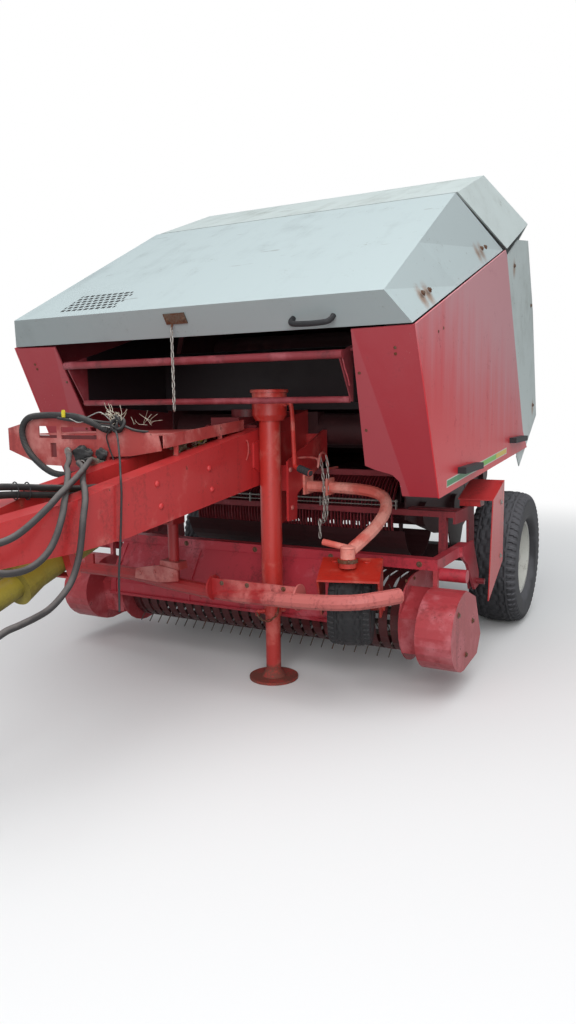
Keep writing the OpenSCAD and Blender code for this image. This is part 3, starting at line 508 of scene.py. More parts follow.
def tyre_form(centre, width, diameter, bead, blocks, depth):
    """A tyre: round a section of flattened sines and cosines, wide at the sidewall and flat at the
    tread, the radius rises by the block depth where a steep cosine of the turn is above zero on the
    shoulders, and between the grooves of the middle."""
    low, high = bead / 2, diameter / 2 - depth
    mid, reach = (low + high) / 2, (high - low) / 2
    turn = (2 * math.pi * np.arange(blocks * 8) / (blocks * 8))[:, None]
    phi = np.radians(np.linspace(-150, 150, 61))[None, :]
    x = width / 2 * np.sign(np.sin(phi)) * np.abs(np.sin(phi)) ** 0.7
    r = mid + reach * np.sign(np.cos(phi)) * np.abs(np.cos(phi)) ** 0.42
    side = np.degrees(np.abs(phi))
    skew = 0.35 * np.sign(phi) + 0.006 * side * np.sign(phi)
    block = np.clip(0.5 + 3.5 * np.cos(blocks * turn + skew * 6), 0, 1)
    shoulder = np.clip((side - 33) / 5, 0, 1) * np.clip((84 - side) / 6, 0, 1)
    zigzag = 4 * np.abs(((blocks / 2 * turn / math.pi) % 2) - 1) - 2
    rib = np.clip((np.abs((side + 1.6 * zigzag * np.sign(phi)) % 16 - 8) - 1.5) / 2, 0, 1)
    rib = rib * np.clip((33 - side) / 3, 0, 1)
    lift = depth * (block * shoulder + rib)
    outward = np.clip(np.cos(phi), 0, 1) ** 0.35
    r = r + lift * outward
    x = x + lift * (1 - outward) * np.sign(phi) * 0.5
    x = np.clip(x, -width / 2, width / 2)
    points = np.stack(np.broadcast_arrays(x, r * np.sin(turn), r * np.cos(turn)), -1)
    return points.reshape(-1, 3) + centre, ring_faces(*points.shape[:2], closed=True)


WHEEL_D = 760
WHEEL_X = 963
STUDS = 6
STUD_RING = 82  # its radius
NUT = [  # washer, nut and stud end: sides and profile of each
    (24, [(15, 0), (15, 4), (12, 8)]),
    (6, [(11, 7), (11, 20), (9, 22)]),
    (12, [(7, 20), (7, 28), (5, 30)]),
]
tyre_rubber = dusty_rubber(
    "tyre rubber", (0.022, 0.022, 0.025), (0.105, 0.105, 0.115), 0.42, 180, "tyre"
)

rim = Finish("rim paint")
mud = rim.noise(16, 6, 0.62)
speck = rim.noise(120, 3)
low_ring = rim.step(mud * 0.6 + speck * 0.4, 0.5, 0.68)
spot = rim.step(mud * 0.4 + speck * 0.6, 0.66, 0.7)
colour = rim.mix(low_ring * 0.6, (0.62, 0.62, 0.58), (0.26, 0.24, 0.2))
rim.coat(rim.mix(spot, colour, RUST), 0.45 + 0.3 * low_ring, speck * 0.5 + mud, 0.0006)
dress(rim, "rim_left", "rim_right", "gauge_rim")

for side, name in SIDES:
    hub = np.array((side * WHEEL_X, 0, WHEEL_D / 2))
    body = "wheel_" + name
    form = tyre_form(hub, width=264, diameter=WHEEL_D, bead=414, blocks=58, depth=9)
    made("tyre_tread_" + name, form, tyre_rubber, body, ["tyre_" + name], 28)
    out = np.array((side, 0, 0))
    nuts = []
    for turn in 2 * math.pi * np.arange(STUDS) / STUDS:
        seat = hub + out * 35 + STUD_RING * np.array((0, math.sin(turn), math.cos(turn)))
        nuts += [turned(profile, seat, out, sides) for sides, profile in NUT]
    cap = turned([(46, 50), (46, 58), (43, 70), (34, 80), (18, 85), (3, 86)], hub, out, 40)
    stem = [(6, 0), (6, 14), (4, 16), (4, 34), (5, 35), (5, 42), (4, 43)]
    valve = turned(stem, hub + out * 36 + (0, 0, 178), out, 12)
    made("wheel_nuts_" + name, joined(cap, valve, *nuts), coupler_steel, body)

# Hood
# One moulded shell of white plastic, gone grey: a long sloping top with a slot grille, a
# front band that leans in below the brow, and a side facet with two creases. Rust runs
# down from the two pairs of bolts in each facet.

FACET_BOLTS = [(981, -1598, 1700), (985, -1532, 1719), (996, -800, 1990), (998, -742, 2005)]


def weathered_white(name, clean, grimy, stains=(), spread=0.5):
    """Old white plastic: broad clouds and long streaks down the slope grey it, specks of moss and
    grit are strewn over it, and below each stain's place the rust runs thin out with distance."""
    f = Finish(name)
    broad = f.noise(1.6, 4)
    patch = f.noise(7, 6, 0.6)
    fine = f.noise(85, 4, 0.7)
    run = f.noise(10, 5, 0.6, (1, 0.12, 0.12))
    cloud = broad * 0.35 + patch * 0.3 + run * 0.35
    grey = f.step(cloud, 0.62 - 0.25 * spread, 0.9 - 0.25 * spread)
    colour = f.mix(grey, clean, grimy)
    speck = f.step(fine * 0.55 + patch * 0.45, 0.6, 0.68)
    colour = f.mix(speck * 0.45, colour, (0.2, 0.2, 0.16))
    scratch = f.step(f.noise(30, 3, 0.5, (0.15, 1, 1)), 0.7, 0.74)
    colour = f.mix(scratch * 0.4, colour, (0.16, 0.15, 0.14))
    for spot in stains:
        x, y, z = place(spot)
        gap = f.node("VectorMath", {"operation": "SUBTRACT"}, {0: f.at, 1: (x, y, z - 0.015)})
        near = f.node("VectorMath", {"operation": "MULTIPLY"}, {0: gap, 1: (14, 26, 17)})
        away = f.node("VectorMath", {"operation": "LENGTH"}, {0: near}, "Value")
        stain = f.step(1.15 - away + 0.7 * (fine - 0.5), 0.0, 1.0)
        colour = f.mix(stain * 0.75, colour, (0.3, 0.13, 0.05))
    f.coat(colour, 0.42 + 0.25 * grey + 0.2 * speck, fine * 0.4 + patch * 0.6, 0.0008)
    return f, colour


mirrored = [(-x, y, z) for x, y, z in FACET_BOLTS]
hood, colour = weathered_white(
    "hood plastic", (0.51, 0.6, 0.61), (0.36, 0.42, 0.43), FACET_BOLTS + mirrored
)

# The grille: rows of slots from one corner of the hood's top, every second row moved by half a
# pitch. What does not face up, the band under the brow most, is painted darker grey as shade.
SLOT_LOW = (-691, -1815)
SLOT_PITCH = (34.5, 29)
SLOT_COLUMNS = 9.5
SLOT_ROWS = 6
across = (hood.part(0) - SLOT_LOW[0] / 1000) * (1000 / SLOT_PITCH[0])
back = (hood.part(1) - AXLE_Y - SLOT_LOW[1] / 1000) * (1000 / SLOT_PITCH[1])
row = back.math("FLOOR")
shifted = across + 0.5 * row.math("FLOORED_MODULO", 2.0)
cell = shifted.math("FRACT")
deep = back.math("FRACT")
# Painted shade: the slots are not cut in the shell. Each is coloured near black for the shade seen
# through it.
cut = hood.step(cell, 0.12, 0.16) * hood.step(cell, 0.86, 0.82)
cut = cut * hood.step(deep, 0.15, 0.22) * hood.step(deep, 0.85, 0.78)
cut = cut * hood.step(hood.up(), 0.4, 0.5)
cut = cut * across.math("GREATER_THAN", 0.0) * shifted.math("LESS_THAN", SLOT_COLUMNS)
cut = cut * back.math("GREATER_THAN", 0.0) * back.math("LESS_THAN", SLOT_ROWS)
# Painted shade: faces that do not look up, the front band most, are mixed up to three tenths
# towards dark grey.
colour = hood.mix(hood.step(hood.up(), 0.5, 0.2) * 0.3, colour, (0.17, 0.17, 0.17))
hood.feed("Base Color", hood.mix(cut, colour, (0.012, 0.013, 0.014)))
gate_white, _ = weathered_white(
    "tailgate plastic", (0.6, 0.68, 0.67), (0.38, 0.42, 0.4),
    [(1003, -139, 2003), (1003, 474, 1251)], 0.7,
)
dress(hood, "hood_shell")
dress(gate_white, "tailgate_shell", "tailgate_side_left", "tailgate_side_right")

black_plastic = dusty_rubber(
    "black plastic", (0.016, 0.016, 0.018), (0.07, 0.07, 0.075), 0.12, 300, "black_plastic"
)
dress(black_plastic, "hood_grip", "door_left_grips", "door_right_grips")


def bolts(places, axis, head, tall):
    """Bolt heads at places: each a six-sided head with a bevelled top on a round flat washer."""
    washer = [(head * 1.5, -1), (head * 1.5, 1.5), (head * 1.35, 2.2)]
    top = [(head, 1), (head, tall), (head * 0.8, tall + 1.5)]
    forms = []
    for spot in places:
        forms += [turned(washer, spot, axis, 20), turned(top, spot, axis, 6)]
    return joined(*forms)


rusty_steel = bare_steel("rusty fasteners", (0.2, 0.15, 0.11), (0.12, 0.08, 0.06), 0.8)
facet_out = unit((0.86, -0.17, 0.48))
for side, name in SIDES:
    heads = bolts(np.array(FACET_BOLTS) * (side, 1, 1), facet_out * (side, 1, 1), 8, 6)
    made("facet_bolts_" + name, heads, rusty_steel, "hood")
band_out = unit((0, -0.83, -0.55))
heads = bolts([(-52, -1839, 1640), (26, -1839, 1640)], band_out, 7, 5)
made("hood_plate_bolts", heads, rusty_steel, "hood")

# Side doors
# Sheets of red plastic with a flat wrap round the front corner. The upper part has faded to pink in
# the sun, in upright streaks, and the low edge and the wrap kept their red. The wrap, which faces
# ahead, is also painted a darker red than the side as shade, and lighter inside its crease as
# painted light. A stripe in two greens and yellow runs above the low edge.

STRIPE_FRONT = -1372
STRIPE_REAR = -285
STRIPE_LOW = 0.931  # height in metres of its low edge at the front
STRIPE_RISE = 0.066  # in each metre back
STRIPE_TALL = 0.024

door = Finish("door plastic")
broad = door.noise(2.0, 4)
patch = door.noise(9, 6, 0.62)
fine = door.noise(80, 4, 0.7)
streak = door.noise(16, 5, 0.6, (1, 1, 0.07))
tall = door.part(2)
along = door.part(1)
outer = door.part(0).math("ABSOLUTE")
sun = tall + 0.22 * (along - AXLE_Y + 1.2) + 0.5 * (streak - 0.5) + 0.3 * (broad - 0.5)
pale = door.step(sun, 1.08, 1.82)
faded = door.mix(pale, (0.68, 0.03, 0.042), (0.64, 0.31, 0.34))
on_side = door.step(outer, 1.0125, 1.0145)
worn = door.step(tall + 0.4 * (patch - 0.5), 1.1, 1.75)
# Painted shade: the wrap faces ahead and gets a darker copy of the door's red, lighter higher up.
wrap = door.mix(worn * 0.6, (0.4, 0.024, 0.038), (0.46, 0.085, 0.1))
# Painted light: the facet inside the crease faces more ahead and is lightened. The outer facet
# keeps the painted shade.
crease = door.step(outer + 0.19 * tall, 1.058, 1.066)
wrap = door.mix((1 - crease) * 0.35, wrap, (0.46, 0.12, 0.14))
colour = door.mix(on_side, wrap, faded)
grime = door.step(patch * 0.5 + fine * 0.5, 0.56, 0.68)
colour = door.mix(grime * 0.3, colour, (0.2, 0.04, 0.05))
scuff = door.step(fine * 0.6 + broad * 0.4, 0.64, 0.67)
colour = door.mix(scuff * 0.5, colour, (0.6, 0.33, 0.33))
front, rear = (AXLE_Y + y / 1000 for y in (STRIPE_FRONT, STRIPE_REAR))
up = tall - STRIPE_LOW - STRIPE_RISE * (along - front)


def band(value, low, high, soft=0.0008):
    """One between two sharp edges and zero past them."""
    return door.step(value, low - soft, low + soft) * door.step(value, high + soft, high - soft)


EDGE = 0.005
outline = band(up, -EDGE, STRIPE_TALL + EDGE) * band(along, front - EDGE, rear + EDGE) * on_side
stripe = band(up, 0, STRIPE_TALL) * band(along, front, rear) * on_side
light_green = door.step(along, front + 0.498, front + 0.502)
yellow = door.step(along, front + 0.858, front + 0.862)
greens = door.mix(light_green, (0.01, 0.22, 0.06), (0.16, 0.5, 0.05))
bands = door.mix(yellow, greens, (0.72, 0.52, 0.05))
worn_off = 1 - 0.8 * door.step(fine * 0.5 + streak * 0.5, 0.6, 0.66)
colour = door.mix(outline * worn_off, colour, (0.62, 0.6, 0.52))
colour = door.mix(stripe * worn_off, colour, bands)
door.coat(colour, 0.42 + 0.2 * pale + 0.15 * grime, fine * 0.4 + patch * 0.6, 0.0008)
dress(door, "door_left", "door_right")

WRAP_HOLES = [(925, -1748, 1489), (923, -1738, 1467), (763, -1708, 1401), (749, -1604, 1174)]
SIDE_HOLES = [(1019, -1518, 1559), (1019, -1453, 1577)]
wrap_out = unit((0, -0.909, -0.417))
for side, name in SIDES:
    heads = []
    for holes, out in ((WRAP_HOLES, wrap_out), (SIDE_HOLES, (side, 0, 0))):
        spots = np.array(holes) * (side, 1, 1)
        heads += [turned([(6, -1), (6, 1.5), (4, 2.5)], spot, out, 12) for spot in spots]
    made("door_rivets_" + name, joined(*heads), rusty_steel, name + "_door")

# Bent sheet
# A folded sheet over the drawbar carries the hoses' fittings. It has two windows and a
# keyhole. A ribbed conduit loops round its end, black tape wraps two fittings, and the
# cables meet in a knot on its upper edge, with straw caught in it.


def prism(outline, origin, u, v, depth):
    """A plate: each outline pair is carried along u and v from origin, and the whole outline once
    more moved by depth. Sides join the two."""
    flat = np.asarray(outline, float)
    near = np.asarray(origin) + flat[:, :1] * np.asarray(u) + flat[:, 1:] * np.asarray(v)
    return np.vstack([near, near + np.asarray(depth)]), ring_faces(2, len(flat))


def even(line, pitch):
    """The line's points again at equal distances, read off its length."""
    p = np.asarray(line, float)
    far = np.concatenate([[0], np.cumsum(np.linalg.norm(np.diff(p, axis=0), axis=1))])
    at = np.linspace(0, far[-1], max(int(far[-1] / pitch), 2) + 1)
    return np.stack([np.interp(at, far, p[:, k]) for k in range(3)], -1)


def lump(centre, size, folds, seed):
    """A crumpled lump: a sphere whose radius rises and falls with three sines of both angles,
    stretched to half sizes along x, y and z."""
    rows, columns = 18, 28
    a = np.linspace(0.02, math.pi - 0.02, rows)[:, None]
    b = (2 * math.pi * np.arange(columns) / columns)[None, :]
    r = 1 + 0.13 * np.sin(folds * a + 2 * b + seed) + 0.07 * np.sin(2 * folds * a - 3 * b)
    r = r + 0.1 * np.sin((folds + 3) * b + 2 * a * seed)
    ball = np.stack([np.sin(a) * np.cos(b), np.sin(a) * np.sin(b), np.cos(a) + 0 * b], -1)
    return (r[..., None] * ball).reshape(-1, 3) * size + centre, ring_faces(rows, columns)


def straws(count, start, spread, reach, rise, seed):
    """Bent stalks: from points round start each runs to a random end, through a middle that is
    moved aside."""
    pick = np.random.RandomState(seed)
    forms = []
    for _ in range(count):
        a = start + (pick.rand(3) - 0.5) * spread
        b = a + (pick.rand(3) - 0.5) * reach + (0, 0, rise * pick.rand())
        middle = (a + b) / 2 + (pick.rand(3) - 0.5) * 0.3 * np.abs(reach)
        forms.append(wire([a, middle, b], 1.1, 5, 4))
    return joined(*forms)


def plain_finish(name, slot, dark, light, rough, scale, depth=0.0004):
    """Two near colours in fine and broad noise."""
    f = Finish(name, slot)
    cloud = f.noise(scale / 6, 4)
    fine = f.noise(scale, 3)
    share = f.step(cloud * 0.6 + fine * 0.4, 0.38, 0.64)
    f.coat(f.mix(share, dark, light), rough + 0.15 * share, fine + cloud, depth)
    return f


CONDUIT = [
    (-160, -2108.4, 1190), (-164, -2135, 1195), (-215, -2150, 1222), (-300, -2140, 1243),
    (-397, -2130, 1250), (-515, -2130, 1250), (-590, -2130, 1238), (-627, -2130, 1195),
    (-622, -2130, 1140), (-590, -2130, 1090), (-540, -2130, 1048), (-490, -2128, 1018),
    (-450, -2118, 1003), (-400, -2095, 1000), (-350, -2060, 1005), (-310, -2010, 1015),
]
RIB = 6.6  # from rib to rib
line = even(eased(CONDUIT, 10), RIB / 4)
wave = np.tile([0.0, 1.5, 1.9, 1.5], len(line) // 4 + 1)[: len(line)]
wrap_rubber = dusty_rubber("wrap rubber", (0.016, 0.016, 0.018), (0.13, 0.125, 0.12), 0.2, 220)
made("sheet_conduit", tube(line, 12.1 + wave, 16), wrap_rubber, replaces=["conduit"], smooth=50)

tape = [
    lump((-300, -2121, 1092), (50, 13, 30), 5, 1),
    lump((-199, -2121, 1091), (27, 13, 25), 4, 2.2),
    lump((-268, -2122, 1068), (24, 12, 16), 6, 3.1),
]
made("sheet_tape", joined(*tape), wrap_rubber, smooth=60)

turn = np.linspace(0, 2 * math.pi, 97)
knot_at = np.array((-100, -2128, 1216))
coil = 24 + 9 * np.cos(3 * turn)
knot = knot_at + np.stack(
    [coil * np.cos(2 * turn), 9 * np.sin(3 * turn), coil * np.sin(2 * turn)], -1
)
coil2 = 18 + 7 * np.cos(3 * turn + 1)
knot2 = knot_at + np.stack(
    [coil2 * np.sin(2 * turn) - 4, 10 * np.sin(3 * turn + 2) - 4, coil2 * np.cos(2 * turn) * 1.2],
    -1,
)
bundle = [
    [
        (-400, -2148, 1240), (-340, -2146, 1232), (-260, -2140, 1226), (-190, -2138, 1214),
        (-120, -2130, 1206),
    ],
    [
        (-360, -2142, 1258), (-300, -2144, 1246), (-220, -2152, 1232), (-150, -2140, 1222),
        (-110, -2130, 1222),
    ],
    [(-66, -2126, 1206), (-30, -2118, 1192), (4, -2112, 1186), (30, -2100, 1184)],
    [
        (-130, -2130, 1196), (-150, -2128, 1180), (-166, -2122, 1160), (-160, -2116, 1120),
        (-140, -2112, 1060), (-126, -2112, 1000), (-118, -2112, 984),
    ],
]
cables = [wire(b, r, 8) for b, r in zip(bundle, (6, 5, 5, 3))]
coils = joined(tube(knot, 6.5, 10), tube(knot2, 5, 8), *cables)
made("sheet_knot", coils, wrap_rubber, smooth=60)

straw = plain_finish("straw", "hose_rubber", (0.42, 0.36, 0.26), (0.72, 0.68, 0.58), 0.7, 200)
made("knot_straw", straws(22, (-108, -2134, 1236), (50, 14, 34), (120, 30, 30), 52, 7), straw)
pale_wire = plain_finish("pale wire", "bare_steel", (0.2, 0.2, 0.2), (0.5, 0.49, 0.46), 0.5, 300)
arcs = [
    [
        (-273, -2134, 1233), (-229, -2136, 1250), (-186, -2136, 1262), (-160, -2134, 1252),
        (-128, -2132, 1226),
    ],
    [
        (-330, -2154, 1238), (-280, -2156, 1222), (-235, -2156, 1228), (-190, -2152, 1210),
        (-150, -2144, 1206), (-118, -2136, 1200),
    ],
    [
        (-225, -2109, 1001), (-214, -2112, 986), (-196, -2112, 978), (-150, -2110, 979),
        (-112, -2109, 981),
    ],
]
made("sheet_wires", joined(*(wire(a, 2.4, 6) for a in arcs)), pale_wire, smooth=60)
yellow_plastic = plain_finish(
    "yellow plastic", "lamp_red", (0.52, 0.42, 0.02), (0.75, 0.64, 0.04), 0.45, 90
)
tag = [(-8, -15), (8, -15), (9, -9), (9, 11), (5, 15), (-5, 15), (-9, 11), (-9, -9)]
made("hose_tag", prism(tag, (-366, -2152, 1258), LEFT, UP, (0, 4, 0)), yellow_plastic)

# Sleeve, nuts and ferrules at the sheet: a crimped sleeve grey with dust on the nearest
# hose and a hexagonal nut with a bright ferrule on each of the others.
dusty_sleeve = plain_finish(
    "dusty sleeve", "hose_rubber", (0.1, 0.095, 0.08), (0.33, 0.31, 0.24), 0.85, 120, 0.0008
)
line = even(eased(ROUTES["hose_2"][:5], 8), 2.5)[:62]
k = np.arange(len(line))
swell = 4.5 * np.exp(-(((k - 26) / 5.0) ** 2)) - np.clip((k - 44) * 0.22, 0, 4)
ring = 15.5 + 1.2 * np.sin(k * 1.3) + swell
made("hose_sleeve", tube(line, ring, 18), dusty_sleeve, smooth=60)
fittings = []
for name in ("hose_1", "hose_3"):
    line = even(eased(ROUTES[name][:4], 8), 3)[:17]
    ferrule = tube(line[1:], 12.4 + np.where(np.arange(len(line) - 1) % 5 < 3, 0.9, 0), 18)
    nut = turned([(15.5, -0.3), (17.5, 1.5), (17.5, 10), (15.5, 11.5)], line[0], AHEAD, 6)
    fittings += [ferrule, nut]
made("sheet_fittings", joined(*fittings), coupler_steel, smooth=50)

# Drawbar
# Two long box beams meet at the hitch eye. Both are worn bright by weather and hands.
# Dome bolts hold the cross plates, and two black hoses run between the beams.
BEAM_X = 165  # outer face of the beams
DOMES = [(-2230, 995), (-2211, 908), (-1881, 1025), (-1864, 936)]


def domes(places, axis, radius=13, tall=9):
    """Round bolt heads: low domes whose radius falls as the cosine while the height rises as the
    sine."""
    arc = np.radians(np.linspace(0, 84, 7))
    profile = [(radius * 1.02, -1), *zip(radius * np.cos(arc), tall * np.sin(arc))]
    return joined(*(turned(profile, spot, axis, 20) for spot in places))


for side, name in SIDES:
    heads = domes([(side * BEAM_X, y, z) for y, z in DOMES], (side, 0, 0))
    made("beam_bolts_" + name, heads, bright_red)
between = [
    [
        (-52, -2100, 972), (-52, -2180, 976), (-51, -2302, 984), (-51, -2420, 990),
        (-50, -2509, 1001), (-48, -2620, 1014), (-50, -2725, 1027), (-50, -2800, 1032),
        (-46, -2870, 1020), (-36, -2900, 985),
    ],
    [
        (-40, -2090, 940), (-52, -2164, 955), (-53, -2303, 960), (-54, -2420, 966),
        (-55, -2510, 976), (-54, -2620, 989), (-55, -2718, 1000), (-54, -2800, 1004),
        (-50, -2870, 990), (-40, -2896, 960),
    ],
]
made("beam_hoses", joined(*(wire(b, 12, 14) for b in between)), wrap_rubber, smooth=60)
turn = np.linspace(0, 2 * math.pi, 15)
ties = []
for y, z in ((-2265, 969.5), (-2660, 1006.5), (-2712, 1012.5)):
    loop = np.stack([-52 + 16 * np.cos(turn), np.full(15, y), z + 30 * np.sin(turn)], -1)
    ties.append(tube(even(eased(loop, 2), 6), 2.2, 6))
made("hose_ties", joined(*ties), cable_rubber, smooth=60)

# Drive shaft
# A yellow plastic guard tube, olive with grease and dust, turns round the shaft. It ends
# in a ribbed cone by the gearbox, where a broken piece of an older guard is left.
guard = Finish("shaft guard", Specular_IOR_Level=0.4)
broad = guard.noise(5, 4)
fine = guard.noise(90, 4, 0.65)
soil = guard.step(broad * 0.5 + fine * 0.25 - 0.22 * guard.up(), 0.2, 0.62)
colour = guard.mix(soil, (0.42, 0.34, 0.045), (0.15, 0.12, 0.03))
colour = guard.mix(guard.step(fine * 0.7 + broad * 0.3, 0.6, 0.68) * 0.6, colour, (0.3, 0.29, 0.24))
guard.coat(colour, 0.45 + 0.3 * soil, fine + broad, 0.0006)
dress(guard, "pto_shaft")
PTO_SLOPE = math.radians(17)
pto_run = np.array((0, -math.cos(PTO_SLOPE), -math.sin(PTO_SLOPE)))
pto_root = np.array((0, -1640, 1060))
RING = np.array([(76, -118), (79, -114), (79, -106), (75, -102)])
rings = [turned(RING + (-3 * k, 22 * k), pto_root, pto_run, 40) for k in range(5)]
made("shaft_rings", joined(*rings), worn_red)
shard = plain_finish("old guard", "shaft_guard", (0.2, 0.18, 0.1), (0.4, 0.37, 0.27), 0.7, 80)
jagged = [(-34, -20), (-8, -28), (30, -12), (22, 6), (8, 14), (-4, 6), (-20, 18)]
broken = []
spots = [(-64, -1800, 1090), (-20, -1812, 1112), (30, -1806, 1096), (52, -1770, 1120)]
for k, spot in enumerate(spots):
    across, up = unit((1, -0.3, 0.25 * k)), unit((0.2, 0.15 * k, 1))
    broken.append(prism(jagged, spot, across, up, (3, 5, 0)))
made("guard_shards", joined(*broken), shard)
shape = [(-12, -14), (12, -10), (16, 8), (0, 18), (-14, 8)]
flap = prism(shape, (44, -1742, 1140), LEFT, (0, 0.3, 1), (2, 4, 0))
tab = joined(lump((28, -1738, 1128), (17, 12, 17), 4, 2), flap)
made("guard_tab", tab, yellow_plastic, smooth=60)

# Jack
# A tube with a capped gearbox on top, a sliding leg with a round foot of thick plate, and
# a bent crank with a ribbed black grip. A pin on a short chain, through the collar at the
# tube's mouth, locks the leg.
JACK = np.array((222, -1469, 0))
jack_red = worn_paint(
    "jack paint", (0.52, 0.034, 0.026), (0.66, 0.2, 0.16), (0.28, 0.016, 0.012),
    (0.52, 0.36, 0.15, 0.36), "bright_red",
)
dress(jack_red, "jack_tube")
leg_red = Finish("jack leg paint", "bright_red")
broad = leg_red.noise(9, 5, 0.6)
fine = leg_red.noise(90, 4, 0.65)
low = leg_red.step(0.06 - leg_red.part(2) + 0.07 * (broad - 0.35) + 0.02 * fine, 0.0, 0.02)
rust = leg_red.mix(fine, (0.24, 0.06, 0.04), (0.13, 0.042, 0.032))
kept = leg_red.step(broad * 0.5 + fine * 0.5, 0.5, 0.56)
rust = leg_red.mix(kept * 0.8, rust, (0.4, 0.04, 0.032))
colour = leg_red.mix(leg_red.step(broad, 0.45, 0.6), (0.44, 0.028, 0.022), (0.55, 0.1, 0.08))
leg_red.coat(leg_red.mix(low, colour, rust), 0.4 + 0.4 * low, fine + broad, 0.0009)
dress(leg_red, "jack_leg")
lid = JACK + (0, 0, 1210)
cap = turned([(86.6, 125), (86.6, 137), (83, 139.5), (60, 140.5), (3, 141)], lid, UP, 64)
hoop = turned([(49.6, 0), (51, 1), (51, 10), (49.6, 11)], JACK + (0, 0, 402), UP, 48)
shape = [(21, -2), (21, 9), (17, 12), (9, 13), (9, 26), (3, 27)]
boss = turned(shape, lid + (79, -8, 82), (1, -0.2, 0), 24)
made("jack_cap", joined(cap, hoop, boss), jack_red)
ribbed = [(16.2 + 0.9 * math.sin(t * 1.9), t) for t in np.arange(0, 76, 1.5)]
shape = [(9, -2), *ribbed, (13, 78), (6, 79)]
grip = turned(shape, JACK + (175, -50, 1002), (70, -30, -17), 28)
made("crank_grip", grip, black_plastic, smooth=60)
PIN = JACK + (0, 0, 325)
pin = turned([(9, -74), (9, 58), (6, 62)], PIN, (0.75, 0.66, 0), 16)
clip = [
    (-58, -50, 0), (-66, -46, -16), (-60, -34, -26), (-50, -42, -14), (-52, -56, 2), (-62, -60, 6)
]
collar = turned([(36.4, -92), (41, -90), (41, 0), (36.4, 0)], JACK + (0, 0, 399.7), UP, 40)
made("jack_pin", joined(pin, wire(clip + PIN, 2.6, 8, 5), collar), leg_red, smooth=50)


def links(line, radius, thick):
    """Chain links along a line: ovals of that half length whose planes turn a quarter from one to
    the next."""
    p = even(line, radius * 2.5)
    turn = np.linspace(0, 2 * math.pi, 15)
    forms = []
    for k in range(len(p) - 1):
        run = unit(p[k + 1] - p[k])
        side = unit(np.cross(run, (0.3, 1, 0.2) if k % 2 else (1, 0.1, 0.3)))
        reach = np.linalg.norm(p[k + 1] - p[k]) / 2 + thick
        along, aside = np.cos(turn)[:, None] * run, np.sin(turn)[:, None] * side
        ring = (p[k] + p[k + 1]) / 2 + along * reach + aside * radius * 0.62
        forms.append(tube(ring, thick, 6))
    return joined(*forms)


chain_steel = bare_steel("small chain", (0.42, 0.41, 0.39), (0.26, 0.22, 0.19), 0.3)
sag = [
    (-56, -52, 322), (-34, -62, 297), (6, -62, 290), (36, -52, 308), (47, -38, 330), (42, -20, 346)
]
made("pin_chain", links(eased(sag + JACK, 5), 8.5, 2.2), rusty_steel, smooth=60)

# Shield lining
# Behind the lower cut-out of the hose shield a dark sheet closes the view, as the hoses'
# bracket does on the real machine.
shape = [(-600, 1062), (-216, 1062), (-216, 1166), (-600, 1166)]
lining = prism(shape, (0, -2099.5, 0), LEFT, UP, (0, 3, 0))
made("shield_lining", lining, dark_red)

# Guard bar
# A bent steel tube ahead of the pickup, with an upright strip between two ears. Crop has
# rubbed it bright on the left; the right half keeps a deeper red. Rough clamp plates hold
# its post.
guard_red = worn_paint(
    "guard bar paint", (0.38, 0.022, 0.024), (0.58, 0.15, 0.135), (0.17, 0.014, 0.015),
    (0.55, 0.36, 0.2, 0.42), lean=(0, 0.15, 0.3),
)
dress(guard_red, "guard_bar")
clamp = joined(
    prism(
        [(-401, 470), (-392, 520), (-300, 536), (-258, 543), (-150, 530), (-147, 478), (-246, 463)],
        (0, -1702, 0), LEFT, UP, (0, 8, 0),
    ),
    prism(
        [(-262, 530), (-150, 526), (-156, 560), (-256, 566)], (0, -1690, 0), LEFT, UP, (0, 70, 0)
    ),
    bolts([(-366, -1702, 500), (-176, -1702, 506), (-280, -1702, 512)], AHEAD, 10, 8),
)
made("post_clamp", clamp, worn_red)
heads = bolts([(120, -1742, 505), (250, -1742, 508), (430, -1742, 510)], AHEAD, 7, 5)
made("strip_bolts", heads, rusty_steel)

# Bracket and chains
# The plate beside the near beam carries a bent hook with a long chain looped over it. A
# second chain hangs from the middle of the hood's front band. Both are small grey links.


def ring_chain(name, lines, body, node):
    """Chains of small links along several lines, as one piece that replaces a node."""
    made(name, joined(*(links(line, 11.5, 2.9) for line in lines)), chain_steel, body, [node], 60)


hook_line = [
    (270, -1290, 1030), (330, -1292, 1034), (378, -1300, 1026), (390, -1320, 990),
    (392, -1304, 1040), (391, -1268, 1056), (390, -1226, 1034), (390, -1213, 986),
    (389, -1190, 975), (388, -1100, 974),
]
hook_red = worn_paint(
    "hook paint", (0.42, 0.05, 0.045), (0.58, 0.22, 0.19), (0.2, 0.05, 0.04), (0.6, 0.7, 0.2, 0.5)
)
made("chain_hook", wire(hook_line, 5.5, 10), hook_red, smooth=60)
near = [
    (390, -1300, 1048), (391, -1282, 1000), (390, -1269, 966), (390, -1255, 850), (390, -1259, 742)
]
far = [
    (392, -1236, 1044), (396, -1226, 980), (393, -1227, 858), (390, -1231, 746), (390, -1284, 728),
    (390, -1303, 742), (390, -1302, 655),
]
ring_chain("bracket_chain", [eased(near, 8), eased(far, 8)], "chassis", "hang_chain")
made("bracket_bolt", domes([(272, -1356, 801), (272, -1372, 980)], LEFT, 12, 8), worn_red)
rod = wire(
    [(165, -1583, 1127), (175, -1584, 1112), (176, -1586, 1070), (166, -1587, 1038)], 4, 8, 5
)
made("beam_rod", joined(rod, domes([(165, -1560, 1074)], LEFT, 10, 6)), hook_red, smooth=60)

